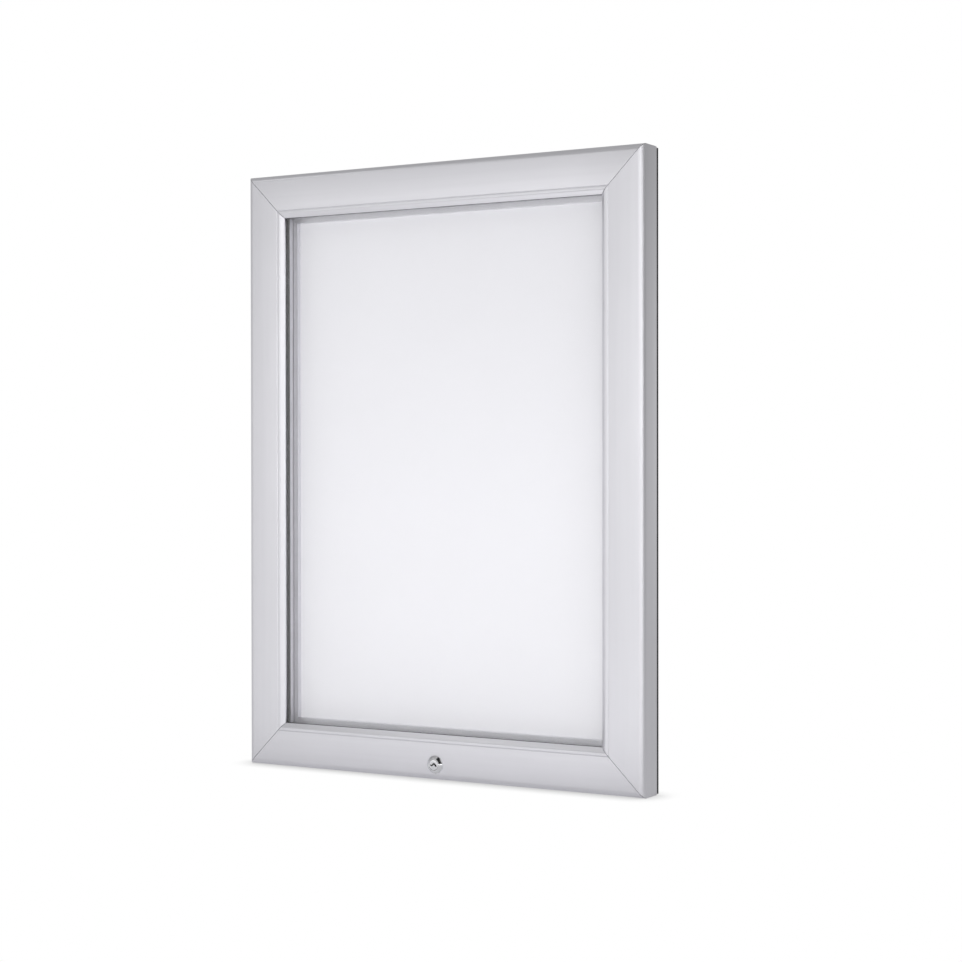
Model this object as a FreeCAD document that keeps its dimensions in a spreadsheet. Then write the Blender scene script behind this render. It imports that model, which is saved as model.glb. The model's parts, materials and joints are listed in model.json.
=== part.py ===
import FreeCAD, Part
import os
import re
import Sketcher

# Wall-mounted lockable poster case: a shallow aluminium back frame with a backing panel and a poster,
# and a glazed door that hangs from a continuous hinge along the top and locks at the bottom.
# Frame: X to the right, Y backwards into the wall, Z up. The wall plane is Y = 0 and the front is at
# -case_depth. The origin is the centre of the wall face.
# Rail profiles are drawn against two measures: the distance inwards from the case's outer edge, and Y.

doc = FreeCAD.newDocument("PosterCase")
sheet = doc.addObject("Spreadsheet::Sheet", "Sizes")

# ---------------------------------------------------------------- driving dimensions (mm, degrees)
DRIVING = [
    ("poster_width", 420, "paper width"),
    ("poster_height", 594, "paper height"),
    ("poster_thickness", 0.5, "printed card"),
    ("poster_cover", 7, "how far the ledge covers the poster's edge"),
    ("ledge_show", 4.5, "back frame ledge seen inside the door opening"),
    ("door_rail_width", 50.5, "front face of a door rail with its lip"),
    ("case_depth", 37.5, "wall to front face"),
    ("rear_gap", 5, "wall to the rear edge of the door's sides"),
    ("door_wall", 1.8, "door extrusion skin"),
    ("front_radius", 6.9, "rounded outer front edge"),
    ("rear_bevel", 0.8, "bevel on the rear edge of the door's sides"),
    ("lip_slant", 5, "width of the sloping lip"),
    ("lip_drop", 3.4, "depth of the sloping lip"),
    ("lip_nose", 2, "flat edge of the lip"),
    ("lip_seat", 3.5, "width of the seat behind the lip"),
    ("groove_inset", 8.8, "second line from the inner edge"),
    ("groove_width", 0.7, "decorative line"),
    ("groove_depth", 0.5, "decorative line"),
    ("mitre_gap", 0.12, "joint line at each mitre, per rail"),
    ("rebate_width", 19.5, "channel behind the lip for glazing and beads"),
    ("door_gap", 1.9, "back of the door rails to the back frame"),
    ("inner_web", 1.4, "inner walls of the door rail"),
    ("hook_reach", 1.2, "hook that holds the glazing bead"),
    ("hook_thickness", 1, "hook that holds the glazing bead"),
    ("hook_clearance", 0.5, "hook to the back frame"),
    ("glazing_thickness", 3, "clear sheet"),
    ("glazing_bite", 10, "glazing hidden behind each door rail"),
    ("gasket_thickness", 0.8, "glazing tape"),
    ("bead_wall", 1.2, "glazing bead skin"),
    ("bead_recess", 1.2, "bead behind the lip's inner edge"),
    ("bead_foot", 7.3, "bead foot on the glazing"),
    ("frame_depth", 15.4, "wall to the back frame's front face"),
    ("frame_wall", 1.6, "back frame extrusion skin"),
    ("frame_back", 2, "back frame rear flange"),
    ("frame_inset", 6, "back frame side behind the door's outer edge"),
    ("flange_inset", 2.2, "rear flange behind the door's outer edge"),
    ("ledge_reach", 9, "ledge beyond the hollow part of the back frame rail"),
    ("panel_thickness", 3, "backing panel"),
    ("panel_shelf", 4, "shelf behind the backing panel"),
    ("shelf_setback", 4.2, "shelf's face in front of the rear flange"),
    ("sheet_clearance", 0.2, "play of poster and panel"),
    ("seal_inset", 0.8, "weather seal behind the door's outer edge"),
    ("seal_clearance", 0.3, "closed door to seal"),
    ("door_seal_setback", 3, "foam strip to the rail's inner wall"),
    ("door_seal_width", 6, "foam strip"),
    ("hinge_radius", 2.25, "knuckle"),
    ("hinge_pin_radius", 1.2, "pin"),
    ("hinge_running_clearance", 0.04, "pin in knuckle, radial"),
    ("hinge_rise", 1, "pin centre below the case's top"),
    ("hinge_end_inset", 12, "hinge end from the case's side"),
    ("hinge_leaf", 1.2, "leaf thickness"),
    ("hinge_gap", 0.4, "room around moving knuckles"),
    ("hinge_slit", 0.3, "gap between neighbouring knuckles"),
    ("hinge_screw_radius", 1.25, "hinge screw"),
    ("hinge_screw_length", 6, "hinge screw into the back frame"),
    ("hinge_screw_head", 0.9, "head height on the back leaf"),
    ("hinge_hole_skin", 0.4, "door wall left over a blind hole"),
    ("screw_tip_room", 0.2, "screw tip to the end of a blind hole"),
    ("leaf_end_gap", 0.3, "leaf edge to the wall in front of it"),
    ("lock_inset", 17.5, "lock axis from the bottom edge"),
    ("lock_barrel_radius", 8, "lock barrel"),
    ("lock_collar_radius", 10, "collar base"),
    ("lock_face_radius", 6.9, "collar front ring"),
    ("lock_stand_out", 4, "collar height"),
    ("lock_collar_edge", 0.8, "straight edge of the collar on the rail"),
    ("plug_radius", 6, "key plug"),
    ("plug_running_clearance", 0.05, "plug in barrel, radial"),
    ("lock_nut_wall", 1.5, "nut outside the barrel, at its flats"),
    ("lock_nut_height", 4, "nut"),
    ("lock_nut_clearance", 0.5, "room round the nut in the rail's web"),
    ("keyway_width", 7.2, "key slot in the plug"),
    ("keyway_height", 1.1, "key slot in the plug"),
    ("keyway_depth", 18, "key slot in the plug"),
    ("ward_width", 2.4, "step in the key slot"),
    ("ward_drop", 1.4, "step below the plug's axis"),
    ("tail_width", 6, "square tail of the plug"),
    ("tail_clearance", 0.05, "cam on the tail, per side"),
    ("cam_end_play", 0.1, "cam to the barrel"),
    ("cam_reach", 18, "cam tip from the lock axis"),
    ("cam_width", 12, "cam"),
    ("cam_thickness", 2, "cam"),
    ("cam_clearance", 0.8, "room round the lock in the keeper slot"),
    ("cam_screw_radius", 1.5, "cam screw"),
    ("cam_screw_length", 6, "cam screw"),
    ("cam_screw_head_radius", 4.5, "cam screw"),
    ("cam_screw_head_height", 1.6, "cam screw"),
    ("keeper_thickness", 1.5, "keeper plate"),
    ("keeper_width", 72, "keeper plate"),
    ("keeper_height", 32, "keeper plate"),
    ("keeper_clearance", 1, "keeper plate to the rail's outer wall"),
    ("keeper_screw_radius", 1.5, "keeper screw"),
    ("keeper_screw_inset", 7, "screw from the end of the keeper plate"),
    ("stay_length", 110, "pivot to slide pin"),
    ("stay_pivot_offset", 8.25, "stay pivot in front of the hinge line"),
    ("stay_width", 7, "stay arm"),
    ("stay_thickness", 1.8, "stay arm"),
    ("stay_side_gap", 0.7, "stay arm to the door's side wall"),
    ("stay_pivot_radius", 2, "stud on the door"),
    ("stay_running_clearance", 0.05, "arm on stud, radial"),
    ("slide_pin_radius", 1.75, "pin in the slot"),
    ("slide_head_radius", 3, "head inside the back frame"),
    ("slide_head_height", 1, "head inside the back frame"),
    ("slide_head_play", 0.3, "head to the back frame's wall"),
    ("stud_shoulder", 1.2, "foot and head outside the stud"),
    ("stud_head_height", 0.8, "head that keeps the arm on the stud"),
    ("stud_end_play", 0.1, "arm between foot and head, per side"),
    ("slot_clearance", 0.15, "slide pin in slot, per side"),
    ("slot_lean", 5.76, "slot's low end in front of the hinge line"),
    ("door_opening_angle", 70, "door travel, degrees"),
    ("wall_hole_radius", 3.25, "wall screw hole"),
    ("driver_hole_radius", 6.5, "screwdriver hole in the front of the back frame"),
    ("wall_hole_inset", 26, "wall hole from the case's side"),
    ("wall_hole_end", 95, "wall hole from the top or bottom edge"),
    ("key_thickness", 7, "corner key"),
    ("back_key_width", 28, "corner key of the back frame"),
    ("key_arm", 80, "corner key from the case's corner"),
    ("key_clearance", 0.3, "corner key in its chamber"),
    ("set_screw_radius", 2, "corner key screw"),
    ("set_screw_inset", 62, "corner key screw from the case's corner"),
    ("set_screw_recess", 0.1, "screw below the face it stands in"),
    ("set_screw_lift", 1, "screw tip above the key's far face"),
    ("screw_clearance", 0.1, "hole round a screw, radial"),
    ("overcut", 1, "how far a cutting tool runs past the face it cuts"),
]
for row, (alias, number, note) in enumerate(DRIVING, start=1):
    sheet.set(f"A{row}", alias)
    sheet.set(f"B{row}", str(number))
    sheet.set(f"C{row}", note)
    sheet.setAlias(f"B{row}", alias)
doc.recompute()

# ---------------------------------------------------------------- expressions
ALIASES = {alias for alias, _, _ in DRIVING}
FUNCTIONS = {"sqrt", "sin", "cos", "asin", "deg"}
DERIVED = {}


def expand(text):
    """Turn plain names into an expression on the sheet's cells."""
    def swap(match):
        word = match.group(0)
        if word in DERIVED:
            return DERIVED[word]
        if word in ALIASES:
            return f"Sizes.{word}"
        if word in FUNCTIONS:
            return word
        raise RuntimeError(f"no size is named {word}")
    return re.sub(r"[A-Za-z_][A-Za-z_0-9]*", swap, str(text))


def derive(name, text):
    """Name a size that follows from the driving dimensions."""
    DERIVED[name] = f"({expand(text)})"


def number(text):
    """Present value of an expression."""
    return float(sheet.evalExpression(expand(text)))


def bind(item, prop, text):
    item.setExpression(prop, expand(text))


# Overall size, and Y of the main planes.
derive("opening_width", "poster_width - 2 * poster_cover + 2 * ledge_show")
derive("opening_height", "poster_height - 2 * poster_cover + 2 * ledge_show")
derive("case_width", "opening_width + 2 * door_rail_width")
derive("case_height", "opening_height + 2 * door_rail_width")
derive("half_width", "case_width / 2")
derive("half_height", "case_height / 2")
derive("front_y", "-case_depth")
derive("skin_y", "front_y + door_wall")
derive("door_rear_y", "-rear_gap")
derive("seat_y", "front_y + lip_drop + lip_nose")
derive("glazing_front_y", "seat_y + gasket_thickness")
derive("glazing_rear_y", "glazing_front_y + glazing_thickness")
derive("band_y", "-frame_depth")
derive("band_rear_y", "band_y + frame_wall")
derive("web_y", "band_y - door_gap")
derive("chamber_end_y", "web_y - inner_web")
derive("hook_y", "band_y - hook_clearance")
derive("hook_front_y", "hook_y - hook_thickness")
derive("bead_flange_y", "hook_front_y - sheet_clearance")
derive("shelf_y", "-frame_back - shelf_setback")
derive("panel_y", "shelf_y - panel_thickness")
derive("poster_y", "panel_y - poster_thickness")
derive("ledge_end_y", "poster_y - sheet_clearance")
# Distances inwards from the case's outer edge.
derive("leg_in", "door_rail_width - rebate_width")
derive("chamber_in", "leg_in - inner_web")
derive("ledge_in", "door_rail_width + ledge_show")
derive("box_in", "ledge_in - ledge_reach")
derive("poster_in", "ledge_in - poster_cover")
# Hinge line.
derive("hinge_y", "-frame_back - hinge_radius")
derive("hinge_z", "half_height - hinge_rise")
derive("hinge_length", "case_width - 2 * hinge_end_inset")
# Wall screws.
derive("wall_hole_pitch", "case_height - 2 * wall_hole_end")
# Lock.
derive("lock_z", "lock_inset - half_height")
derive("lock_nut_radius", "(lock_barrel_radius + lock_nut_wall) * 2 / sqrt(3)")
derive("cam_y", "band_rear_y + keeper_thickness + cam_clearance")
derive("slot_half_length", "cam_reach + cam_clearance")
derive("slot_half_height", "lock_barrel_radius + cam_clearance")
derive("keeper_z", "frame_inset + frame_wall + keeper_clearance + keeper_height / 2 - half_height")
# Stay: the door pivot, and the slide pin on a slot line that passes through the hinge line. The arm is
# as long as the pivot's distance from the hinge, so the arm turns twice as far as the door, backwards.
derive("stay_pivot_y", "hinge_y - stay_pivot_offset")
derive("stay_pivot_z", "hinge_z - sqrt(stay_length^2 - stay_pivot_offset^2)")
derive("slot_tilt", "asin(slot_lean / (2 * stay_length)) / 1deg")
derive("stay_angle", "asin(stay_pivot_offset / stay_length) / 1deg - slot_tilt")
derive("slide_rest", "2 * stay_length * cos(stay_angle * 1deg)")
derive("slide_open", "2 * stay_length * cos((stay_angle + door_opening_angle) * 1deg)")
derive("stay_in", "door_wall + stay_side_gap")

parts = {}


def keep(item, node):
    """Label a finished sub-part with the name of its file."""
    item.Label = node
    parts[node] = item
    return item


# ---------------------------------------------------------------- sketches and features
def new_body(name):
    return doc.addObject("PartDesign::Body", name)


def new_sketch(body, role, offset="0"):
    plane = next(item for item in body.Origin.OriginFeatures if item.Role == role)
    sketch = body.newObject("Sketcher::SketchObject", body.Name + "_sketch")
    sketch.AttachmentSupport = [(plane, "")]
    sketch.MapMode = "FlatFace"
    bind(sketch, "AttachmentOffset.Base.z", offset)
    return sketch


def outline(sketch, corners):
    """Closed outline, each corner held at two expressions.

    The edge that leads to a corner is straight, or an arc where the corner also gives a radius and
    the arc's centre.
    """
    points = [FreeCAD.Vector(number(corner[0]), number(corner[1]), 0) for corner in corners]
    count = len(points)
    edges = []
    for index in range(count):
        start = points[index]
        end = points[(index + 1) % count]
        following = corners[(index + 1) % count]
        if len(following) == 2:
            edge = sketch.addGeometry(Part.LineSegment(start, end), False)
            edges.append((edge, 1, 2))
            continue
        radius = number(following[2])
        centre = FreeCAD.Vector(number(following[3]), number(following[4]), 0)
        outwards = (start + end) * 0.5 - centre
        middle = centre + outwards * (radius / outwards.Length)
        edge = sketch.addGeometry(Part.Arc(start, middle, end), False)
        forward = sketch.Geometry[edge].StartPoint.distanceToPoint(start) < 1e-6
        edges.append((edge, 1, 2) if forward else (edge, 2, 1))
        held = sketch.addConstraint(Sketcher.Constraint("Radius", edge, radius))
        bind(sketch, f"Constraints[{held}]", following[2])
    for index in range(count):
        edge, start, end = edges[index]
        following, following_start, _ = edges[(index + 1) % count]
        sketch.addConstraint(Sketcher.Constraint("Coincident", edge, end, following, following_start))
        point = points[index]
        across = sketch.addConstraint(Sketcher.Constraint("DistanceX", -1, 1, edge, start, point.x))
        up = sketch.addConstraint(Sketcher.Constraint("DistanceY", -1, 1, edge, start, point.y))
        bind(sketch, f"Constraints[{across}]", corners[index][0])
        bind(sketch, f"Constraints[{up}]", corners[index][1])


def pad(body, sketch, length, symmetric=False):
    feature = body.newObject("PartDesign::Pad", body.Name + "_pad")
    feature.Profile = sketch
    feature.SideType = "Symmetric" if symmetric else "One side"
    bind(feature, "Length", length)
    doc.recompute()
    return feature


def pocket_through(body, sketch, length):
    before = body.Shape.Volume
    feature = body.newObject("PartDesign::Pocket", body.Name + "_pocket")
    feature.Profile = sketch
    feature.SideType = "Symmetric"
    bind(feature, "Length", length)
    doc.recompute()
    if body.Shape.Volume >= before:
        raise RuntimeError(f"{body.Name}: a pocket cut nothing")
    return feature


# ---------------------------------------------------------------- primitives and booleans
ALONG = {
    "X": FreeCAD.Rotation(FreeCAD.Vector(0, 1, 0), 90),
    "Y": FreeCAD.Rotation(FreeCAD.Vector(1, 0, 0), -90),
    "Z": FreeCAD.Rotation(),
}


def place(item, x, y, z):
    for axis, text in zip("xyz", (x, y, z)):
        bind(item, f"Placement.Base.{axis}", text)
    return item


def box(name, x_range, y_range, z_range):
    item = doc.addObject("Part::Box", name)
    for prop, (low, high) in zip(("Length", "Width", "Height"), (x_range, y_range, z_range)):
        bind(item, prop, f"({high}) - ({low})")
    return place(item, x_range[0], y_range[0], z_range[0])


def cylinder(name, axis, radius, length, x, y, z):
    item = doc.addObject("Part::Cylinder", name)
    item.Placement = FreeCAD.Placement(FreeCAD.Vector(), ALONG[axis])
    bind(item, "Radius", radius)
    bind(item, "Height", length)
    return place(item, x, y, z)


def cone(name, axis, radius_start, radius_end, length, x, y, z):
    item = doc.addObject("Part::Cone", name)
    item.Placement = FreeCAD.Placement(FreeCAD.Vector(), ALONG[axis])
    bind(item, "Radius1", radius_start)
    bind(item, "Radius2", radius_end)
    bind(item, "Height", length)
    return place(item, x, y, z)


def fuse(name, items):
    item = doc.addObject("Part::MultiFuse", name)
    item.Shapes = items
    return item


def cut(name, base, tools):
    item = doc.addObject("Part::Cut", name)
    item.Base = base
    item.Tool = tools[0] if len(tools) == 1 else fuse(name + "_tools", tools)
    return item


def group(name, items):
    item = doc.addObject("Part::Compound", name)
    item.Links = items
    return item


# ---------------------------------------------------------------- rails
# A rail is drawn as the top one, with its outer edge up, and turned about Y into its place.
SIDES = {
    "top": {"turn": 0, "reach": "half_height", "half_length": "half_width"},
    "bottom": {"turn": 180, "reach": "half_height", "half_length": "half_width"},
    "left": {"turn": -90, "reach": "half_width", "half_length": "half_height"},
    "right": {"turn": 90, "reach": "half_width", "half_length": "half_height"},
}


def from_edge(corner, reach):
    """Turn distances inwards from the outer edge into heights above the case's centre."""
    y, inwards, *arc = corner
    if arc:
        arc = [arc[0], arc[1], f"{reach} - ({arc[2]})"]
    return (y, f"{reach} - ({inwards})", *arc)


def mitred_rail(name, side, outlines, depth_inwards):
    """Bar of constant section along X, cut at 45 degrees at both ends and turned to its side."""
    reach = SIDES[side]["reach"]
    half_length = SIDES[side]["half_length"]
    body = new_body(name)
    profile = new_sketch(body, "YZ_Plane")
    for corners in outlines:
        outline(profile, [from_edge(corner, reach) for corner in corners])
    pad(body, profile, f"2 * {half_length}", symmetric=True)
    mitre = new_sketch(body, "XZ_Plane")
    for sign in ("", "-"):
        outline(mitre, [
            (f"{sign}({half_length} + overcut - mitre_gap * sqrt(2))", f"{reach} + overcut"),
            (f"{sign}({half_length} + overcut - mitre_gap * sqrt(2))",
             f"{reach} - ({depth_inwards}) - overcut"),
            (f"{sign}({half_length} - ({depth_inwards}) - overcut - mitre_gap * sqrt(2))",
             f"{reach} - ({depth_inwards}) - overcut"),
        ])
    pocket_through(body, mitre, "4 * case_depth")
    body.Placement = FreeCAD.Placement(
        FreeCAD.Vector(), FreeCAD.Rotation(FreeCAD.Vector(0, 1, 0), SIDES[side]["turn"]))
    return body


DOOR_SECTION = [
    ("front_y + front_radius", "0"),
    ("front_y", "front_radius", "front_radius", "front_y + front_radius", "front_radius"),
    ("front_y", "door_rail_width - groove_inset - groove_width / 2"),
    ("front_y + groove_depth", "door_rail_width - groove_inset"),
    ("front_y", "door_rail_width - groove_inset + groove_width / 2"),
    ("front_y", "door_rail_width - lip_slant - groove_width / 2"),
    ("front_y + groove_depth", "door_rail_width - lip_slant"),
    ("front_y + groove_width / 2 * lip_drop / lip_slant",
     "door_rail_width - lip_slant + groove_width / 2"),
    ("front_y + lip_drop", "door_rail_width"),
    ("seat_y", "door_rail_width"),
    ("seat_y", "door_rail_width - lip_seat"),
    ("skin_y + lip_drop / 3", "door_rail_width - lip_seat"),
    ("skin_y", "door_rail_width - lip_slant - groove_width"),
    ("skin_y", "leg_in"),
    ("hook_front_y", "leg_in"),
    ("hook_front_y", "leg_in + hook_reach"),
    ("hook_y", "leg_in + hook_reach"),
    ("hook_y", "chamber_in"),
    ("web_y", "chamber_in"),
    ("web_y", "door_wall"),
    ("door_rear_y", "door_wall"),
    ("door_rear_y", "rear_bevel"),
    ("door_rear_y - rear_bevel", "0"),
]
DOOR_CHAMBER = [
    ("front_y + front_radius", "door_wall"),
    ("skin_y", "front_radius", "front_radius - door_wall", "front_y + front_radius", "front_radius"),
    ("skin_y", "chamber_in"),
    ("chamber_end_y", "chamber_in"),
    ("chamber_end_y", "door_wall"),
]
BEAD_SECTION = [
    ("glazing_rear_y", "door_rail_width - bead_recess"),
    ("hook_y - sheet_clearance", "door_rail_width - bead_recess"),
    ("hook_y - sheet_clearance", "door_rail_width - bead_recess - bead_wall"),
    ("bead_flange_y", "door_rail_width - bead_recess - bead_wall"),
    ("bead_flange_y", "leg_in + sheet_clearance"),
    ("bead_flange_y - bead_wall", "leg_in + sheet_clearance"),
    ("bead_flange_y - bead_wall", "door_rail_width - bead_recess - bead_wall"),
    ("glazing_rear_y + bead_wall", "door_rail_width - bead_recess - bead_wall"),
    ("glazing_rear_y + bead_wall", "door_rail_width - bead_recess - bead_foot"),
    ("glazing_rear_y", "door_rail_width - bead_recess - bead_foot"),
]
FRAME_SECTION = [
    ("band_y", "frame_inset"),
    ("band_y", "ledge_in"),
    ("ledge_end_y", "ledge_in"),
    ("ledge_end_y", "ledge_in - frame_wall"),
    ("band_rear_y", "ledge_in - frame_wall"),
    ("band_rear_y", "box_in"),
    ("shelf_y", "box_in"),
    ("shelf_y", "box_in + panel_shelf"),
    ("shelf_y + frame_wall", "box_in + panel_shelf"),
    ("shelf_y + frame_wall", "box_in"),
    ("0", "box_in"),
    ("0", "flange_inset"),
    ("-frame_back", "flange_inset"),
    ("-frame_back", "frame_inset"),
]
FRAME_HOLLOW = [
    ("band_rear_y", "frame_inset + frame_wall"),
    ("band_rear_y", "box_in - frame_wall"),
    ("-frame_back", "box_in - frame_wall"),
    ("-frame_back", "frame_inset + frame_wall"),
]


def corner_spots(inwards, along):
    """Two spots near each corner, one on each rail: signs and expressions of X and Z."""
    spots = []
    for x_sign in ("-", ""):
        for z_sign in ("-", ""):
            spots.append((f"{x_sign}(half_width - ({along}))", f"{z_sign}(half_height - ({inwards}))"))
            spots.append((f"{x_sign}(half_width - ({inwards}))", f"{z_sign}(half_height - ({along}))"))
    return spots


def on_side(spots, side):
    """The corner spots that lie on one rail: even ones are on top and bottom, odd ones on the sides."""
    wanted = {"bottom": (0, 4), "top": (2, 6), "left": (1, 3), "right": (5, 7)}[side]
    return [spots[index] for index in wanted]


derive("door_key_in", "(front_radius + chamber_in) / 2")
derive("frame_key_in", "(frame_inset + box_in) / 2")
DOOR_KEY_SPOTS = corner_spots("door_key_in", "set_screw_inset")
FRAME_KEY_SPOTS = corner_spots("frame_key_in", "set_screw_inset")
HINGE_SCREW_COUNT = 6
# Where each leaf's screws stand, as shares of one pitch: the two rows miss each other.
FRAME_SCREW_SHIFT = 0.3
DOOR_SCREW_SHIFT = 0.7


def hinge_screw_x(index, shift):
    """X of one of a leaf's evenly spread screws."""
    return f"hinge_length * (({index} + {shift}) / {HINGE_SCREW_COUNT} - 0.5)"


def door_rail(side):
    section = mitred_rail(f"DoorRail_{side}", side, [DOOR_SECTION, DOOR_CHAMBER], "door_rail_width")
    tools = [cylinder(f"DoorKeyHole_{side}_{index}", "Y", "set_screw_radius + screw_clearance",
                      "inner_web + 2 * overcut", x, "chamber_end_y - overcut", z)
             for index, (x, z) in enumerate(on_side(DOOR_KEY_SPOTS, side))]
    if side == "top":
        # The top edge stops short of the knuckles; blind holes take the hinge screws.
        tools.append(box("DoorHingeRelief", ("-half_width - overcut", "half_width + overcut"),
                         ("hinge_y - hinge_radius - hinge_gap", "0"),
                         ("half_height - door_wall - overcut", "half_height + overcut")))
        tools += [cylinder(f"DoorHingeHole_{index}", "Z", "hinge_screw_radius + screw_clearance",
                           "door_wall - hinge_hole_skin", hinge_screw_x(index, DOOR_SCREW_SHIFT),
                           "door_leaf_screw_y", "half_height - door_wall")
                  for index in range(HINGE_SCREW_COUNT)]
    if side == "bottom":
        tools.append(cylinder("LockHole", "Y", "lock_barrel_radius + screw_clearance",
                              "door_wall + 2 * overcut", "0", "front_y - overcut", "lock_z"))
        tools.append(cylinder("LockNutHole", "Y", "lock_nut_radius + lock_nut_clearance",
                              "inner_web + 2 * overcut", "0", "chamber_end_y - overcut", "lock_z"))
    keep(cut(f"DoorRailCut_{side}", section, tools), f"door_rail_{side}")


def back_rail(side):
    section = mitred_rail(f"BackRail_{side}", side, [FRAME_SECTION, FRAME_HOLLOW], "ledge_in")
    tools = [cylinder(f"BackKeyHole_{side}_{index}", "Y", "set_screw_radius + screw_clearance",
                      "frame_wall + 2 * overcut", x, "band_y - overcut", z)
             for index, (x, z) in enumerate(on_side(FRAME_KEY_SPOTS, side))]
    if side in ("left", "right"):
        sign = "-" if side == "left" else ""
        for end in ("-", ""):
            x = f"{sign}(half_width - wall_hole_inset)"
            z = f"{end}wall_hole_pitch / 2"
            tools.append(cylinder(f"WallHole_{side}_{len(tools)}", "Y", "wall_hole_radius",
                                  "frame_back + 2 * overcut", x, "-frame_back - overcut", z))
            tools.append(cylinder(f"DriverHole_{side}_{len(tools)}", "Y", "driver_hole_radius",
                                  "frame_wall + 2 * overcut", x, "band_y - overcut", z))
        tools.append(stay_slot(side))
    if side == "top":
        tools += [cylinder(f"BackHingeHole_{index}", "Z", "hinge_screw_radius + screw_clearance",
                           "frame_wall + 2 * overcut", hinge_screw_x(index, FRAME_SCREW_SHIFT),
                           "frame_leaf_screw_y", "half_height - frame_inset - frame_wall - overcut")
                  for index in range(HINGE_SCREW_COUNT)]
    if side == "bottom":
        tools.append(keeper_opening("KeeperSlotInRail"))
        tools += keeper_screw_shapes("KeeperSeat", "screw_clearance")
    keep(cut(f"BackRailCut_{side}", section, tools), f"back_rail_{side}")


def stay_slot(side):
    """Leaning slot with round ends through the side wall of a back rail."""
    sign = -1 if side == "left" else 1
    body = new_body(f"StaySlot_{side}")
    sketch = new_sketch(body, "YZ_Plane")
    half = "(slide_pin_radius + slot_clearance)"
    corners = []
    for distance, across in (("slide_open", 1), ("slide_rest", 1), ("slide_rest", -1), ("slide_open", -1)):
        corners.append((
            f"hinge_y - {distance} * sin(slot_tilt * 1deg) + {across} * {half} * cos(slot_tilt * 1deg)",
            f"hinge_z - {distance} * cos(slot_tilt * 1deg) - {across} * {half} * sin(slot_tilt * 1deg)"))
    outline(sketch, corners)
    pad(body, sketch, "frame_wall + 2 * overcut", symmetric=True)
    middle = f"{sign} * (half_width - frame_inset - frame_wall / 2)"
    body.Placement = FreeCAD.Placement(FreeCAD.Vector(number(middle), 0, 0), FreeCAD.Rotation())
    bind(body, "Placement.Base.x", middle)
    ends = [cylinder(f"StaySlotEnd_{side}_{distance}", "X", half, "frame_wall + 2 * overcut",
                     f"{middle} - frame_wall / 2 - overcut",
                     f"hinge_y - {distance} * sin(slot_tilt * 1deg)",
                     f"hinge_z - {distance} * cos(slot_tilt * 1deg)")
            for distance in ("slide_open", "slide_rest")]
    return fuse(f"StaySlotTool_{side}", [body] + ends)


def glazing_bead(side):
    keep(mitred_rail(f"GlazingBead_{side}", side, [BEAD_SECTION], "door_rail_width"),
         f"glazing_bead_{side}")


# ---------------------------------------------------------------- rings, sheets and corner keys
def ring(name, outer_in, inner_in, y_range):
    """Rectangular ring between two distances from the case's outer edge."""
    walls = []
    for tag, inwards, extra in (("Outer", outer_in, "0"), ("Inner", inner_in, "overcut")):
        walls.append(box(f"{name}{tag}", (f"-(half_width - ({inwards}))", f"half_width - ({inwards})"),
                         (f"{y_range[0]} - {extra}", f"{y_range[1]} + {extra}"),
                         (f"-(half_height - ({inwards}))", f"half_height - ({inwards})")))
    return cut(name, walls[0], walls[1:])


def flat_sheet(name, inwards, y_range):
    return box(name, (f"-(half_width - ({inwards}))", f"half_width - ({inwards})"), y_range,
               (f"-(half_height - ({inwards}))", f"half_height - ({inwards})"))


def weather_seal():
    """Three-sided strip that closes the slit behind the door; the top is left to the hinge."""
    body = new_body("WeatherSealBody")
    sketch = new_sketch(body, "XZ_Plane", "0")
    top = "hinge_z - sheet_clearance"
    outline(sketch, [
        ("-(half_width - seal_inset)", top),
        ("-(half_width - seal_inset)", "-(half_height - seal_inset)"),
        ("half_width - seal_inset", "-(half_height - seal_inset)"),
        ("half_width - seal_inset", top),
        ("half_width - flange_inset", top),
        ("half_width - flange_inset", "-(half_height - flange_inset)"),
        ("-(half_width - flange_inset)", "-(half_height - flange_inset)"),
        ("-(half_width - flange_inset)", top),
    ])
    pad(body, sketch, "rear_gap - seal_clearance")
    keep(body, "weather_seal")


def corner_keys(name, outer_in, inner_in, y_range, spots, node):
    """L-shaped blocks in the rails' chambers, one at each corner, with holes for the set screws."""
    keys = []
    for x_sign in (-1, 1):
        for z_sign in (-1, 1):
            tag = f"{name}_{'LR'[x_sign > 0]}{'BT'[z_sign > 0]}"

            def span(sign, half, start, end):
                low, high = (f"{sign} * ({half} - ({start}))", f"{sign} * ({half} - ({end}))")
                return (high, low) if sign > 0 else (low, high)

            arms = [
                box(tag + "_along", span(x_sign, "half_width", outer_in, "key_arm"), y_range,
                    span(z_sign, "half_height", outer_in, inner_in)),
                box(tag + "_up", span(x_sign, "half_width", outer_in, inner_in), y_range,
                    span(z_sign, "half_height", outer_in, "key_arm")),
            ]
            keys.append(fuse(tag, arms))
    holes = [cylinder(f"{name}_hole_{index}", "Y", "set_screw_radius + screw_clearance",
                      f"({y_range[1]}) - ({y_range[0]}) + 2 * overcut", x,
                      f"{y_range[0]} - overcut", z)
             for index, (x, z) in enumerate(spots)]
    keep(cut(name + "Drilled", group(name, keys), holes), node)


def set_screws(name, y_range, spots, node):
    keep(group(name, [cylinder(f"{name}_{index}", "Y", "set_screw_radius",
                               f"({y_range[1]}) - ({y_range[0]})", x, y_range[0], z)
                      for index, (x, z) in enumerate(spots)]), node)


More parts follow.
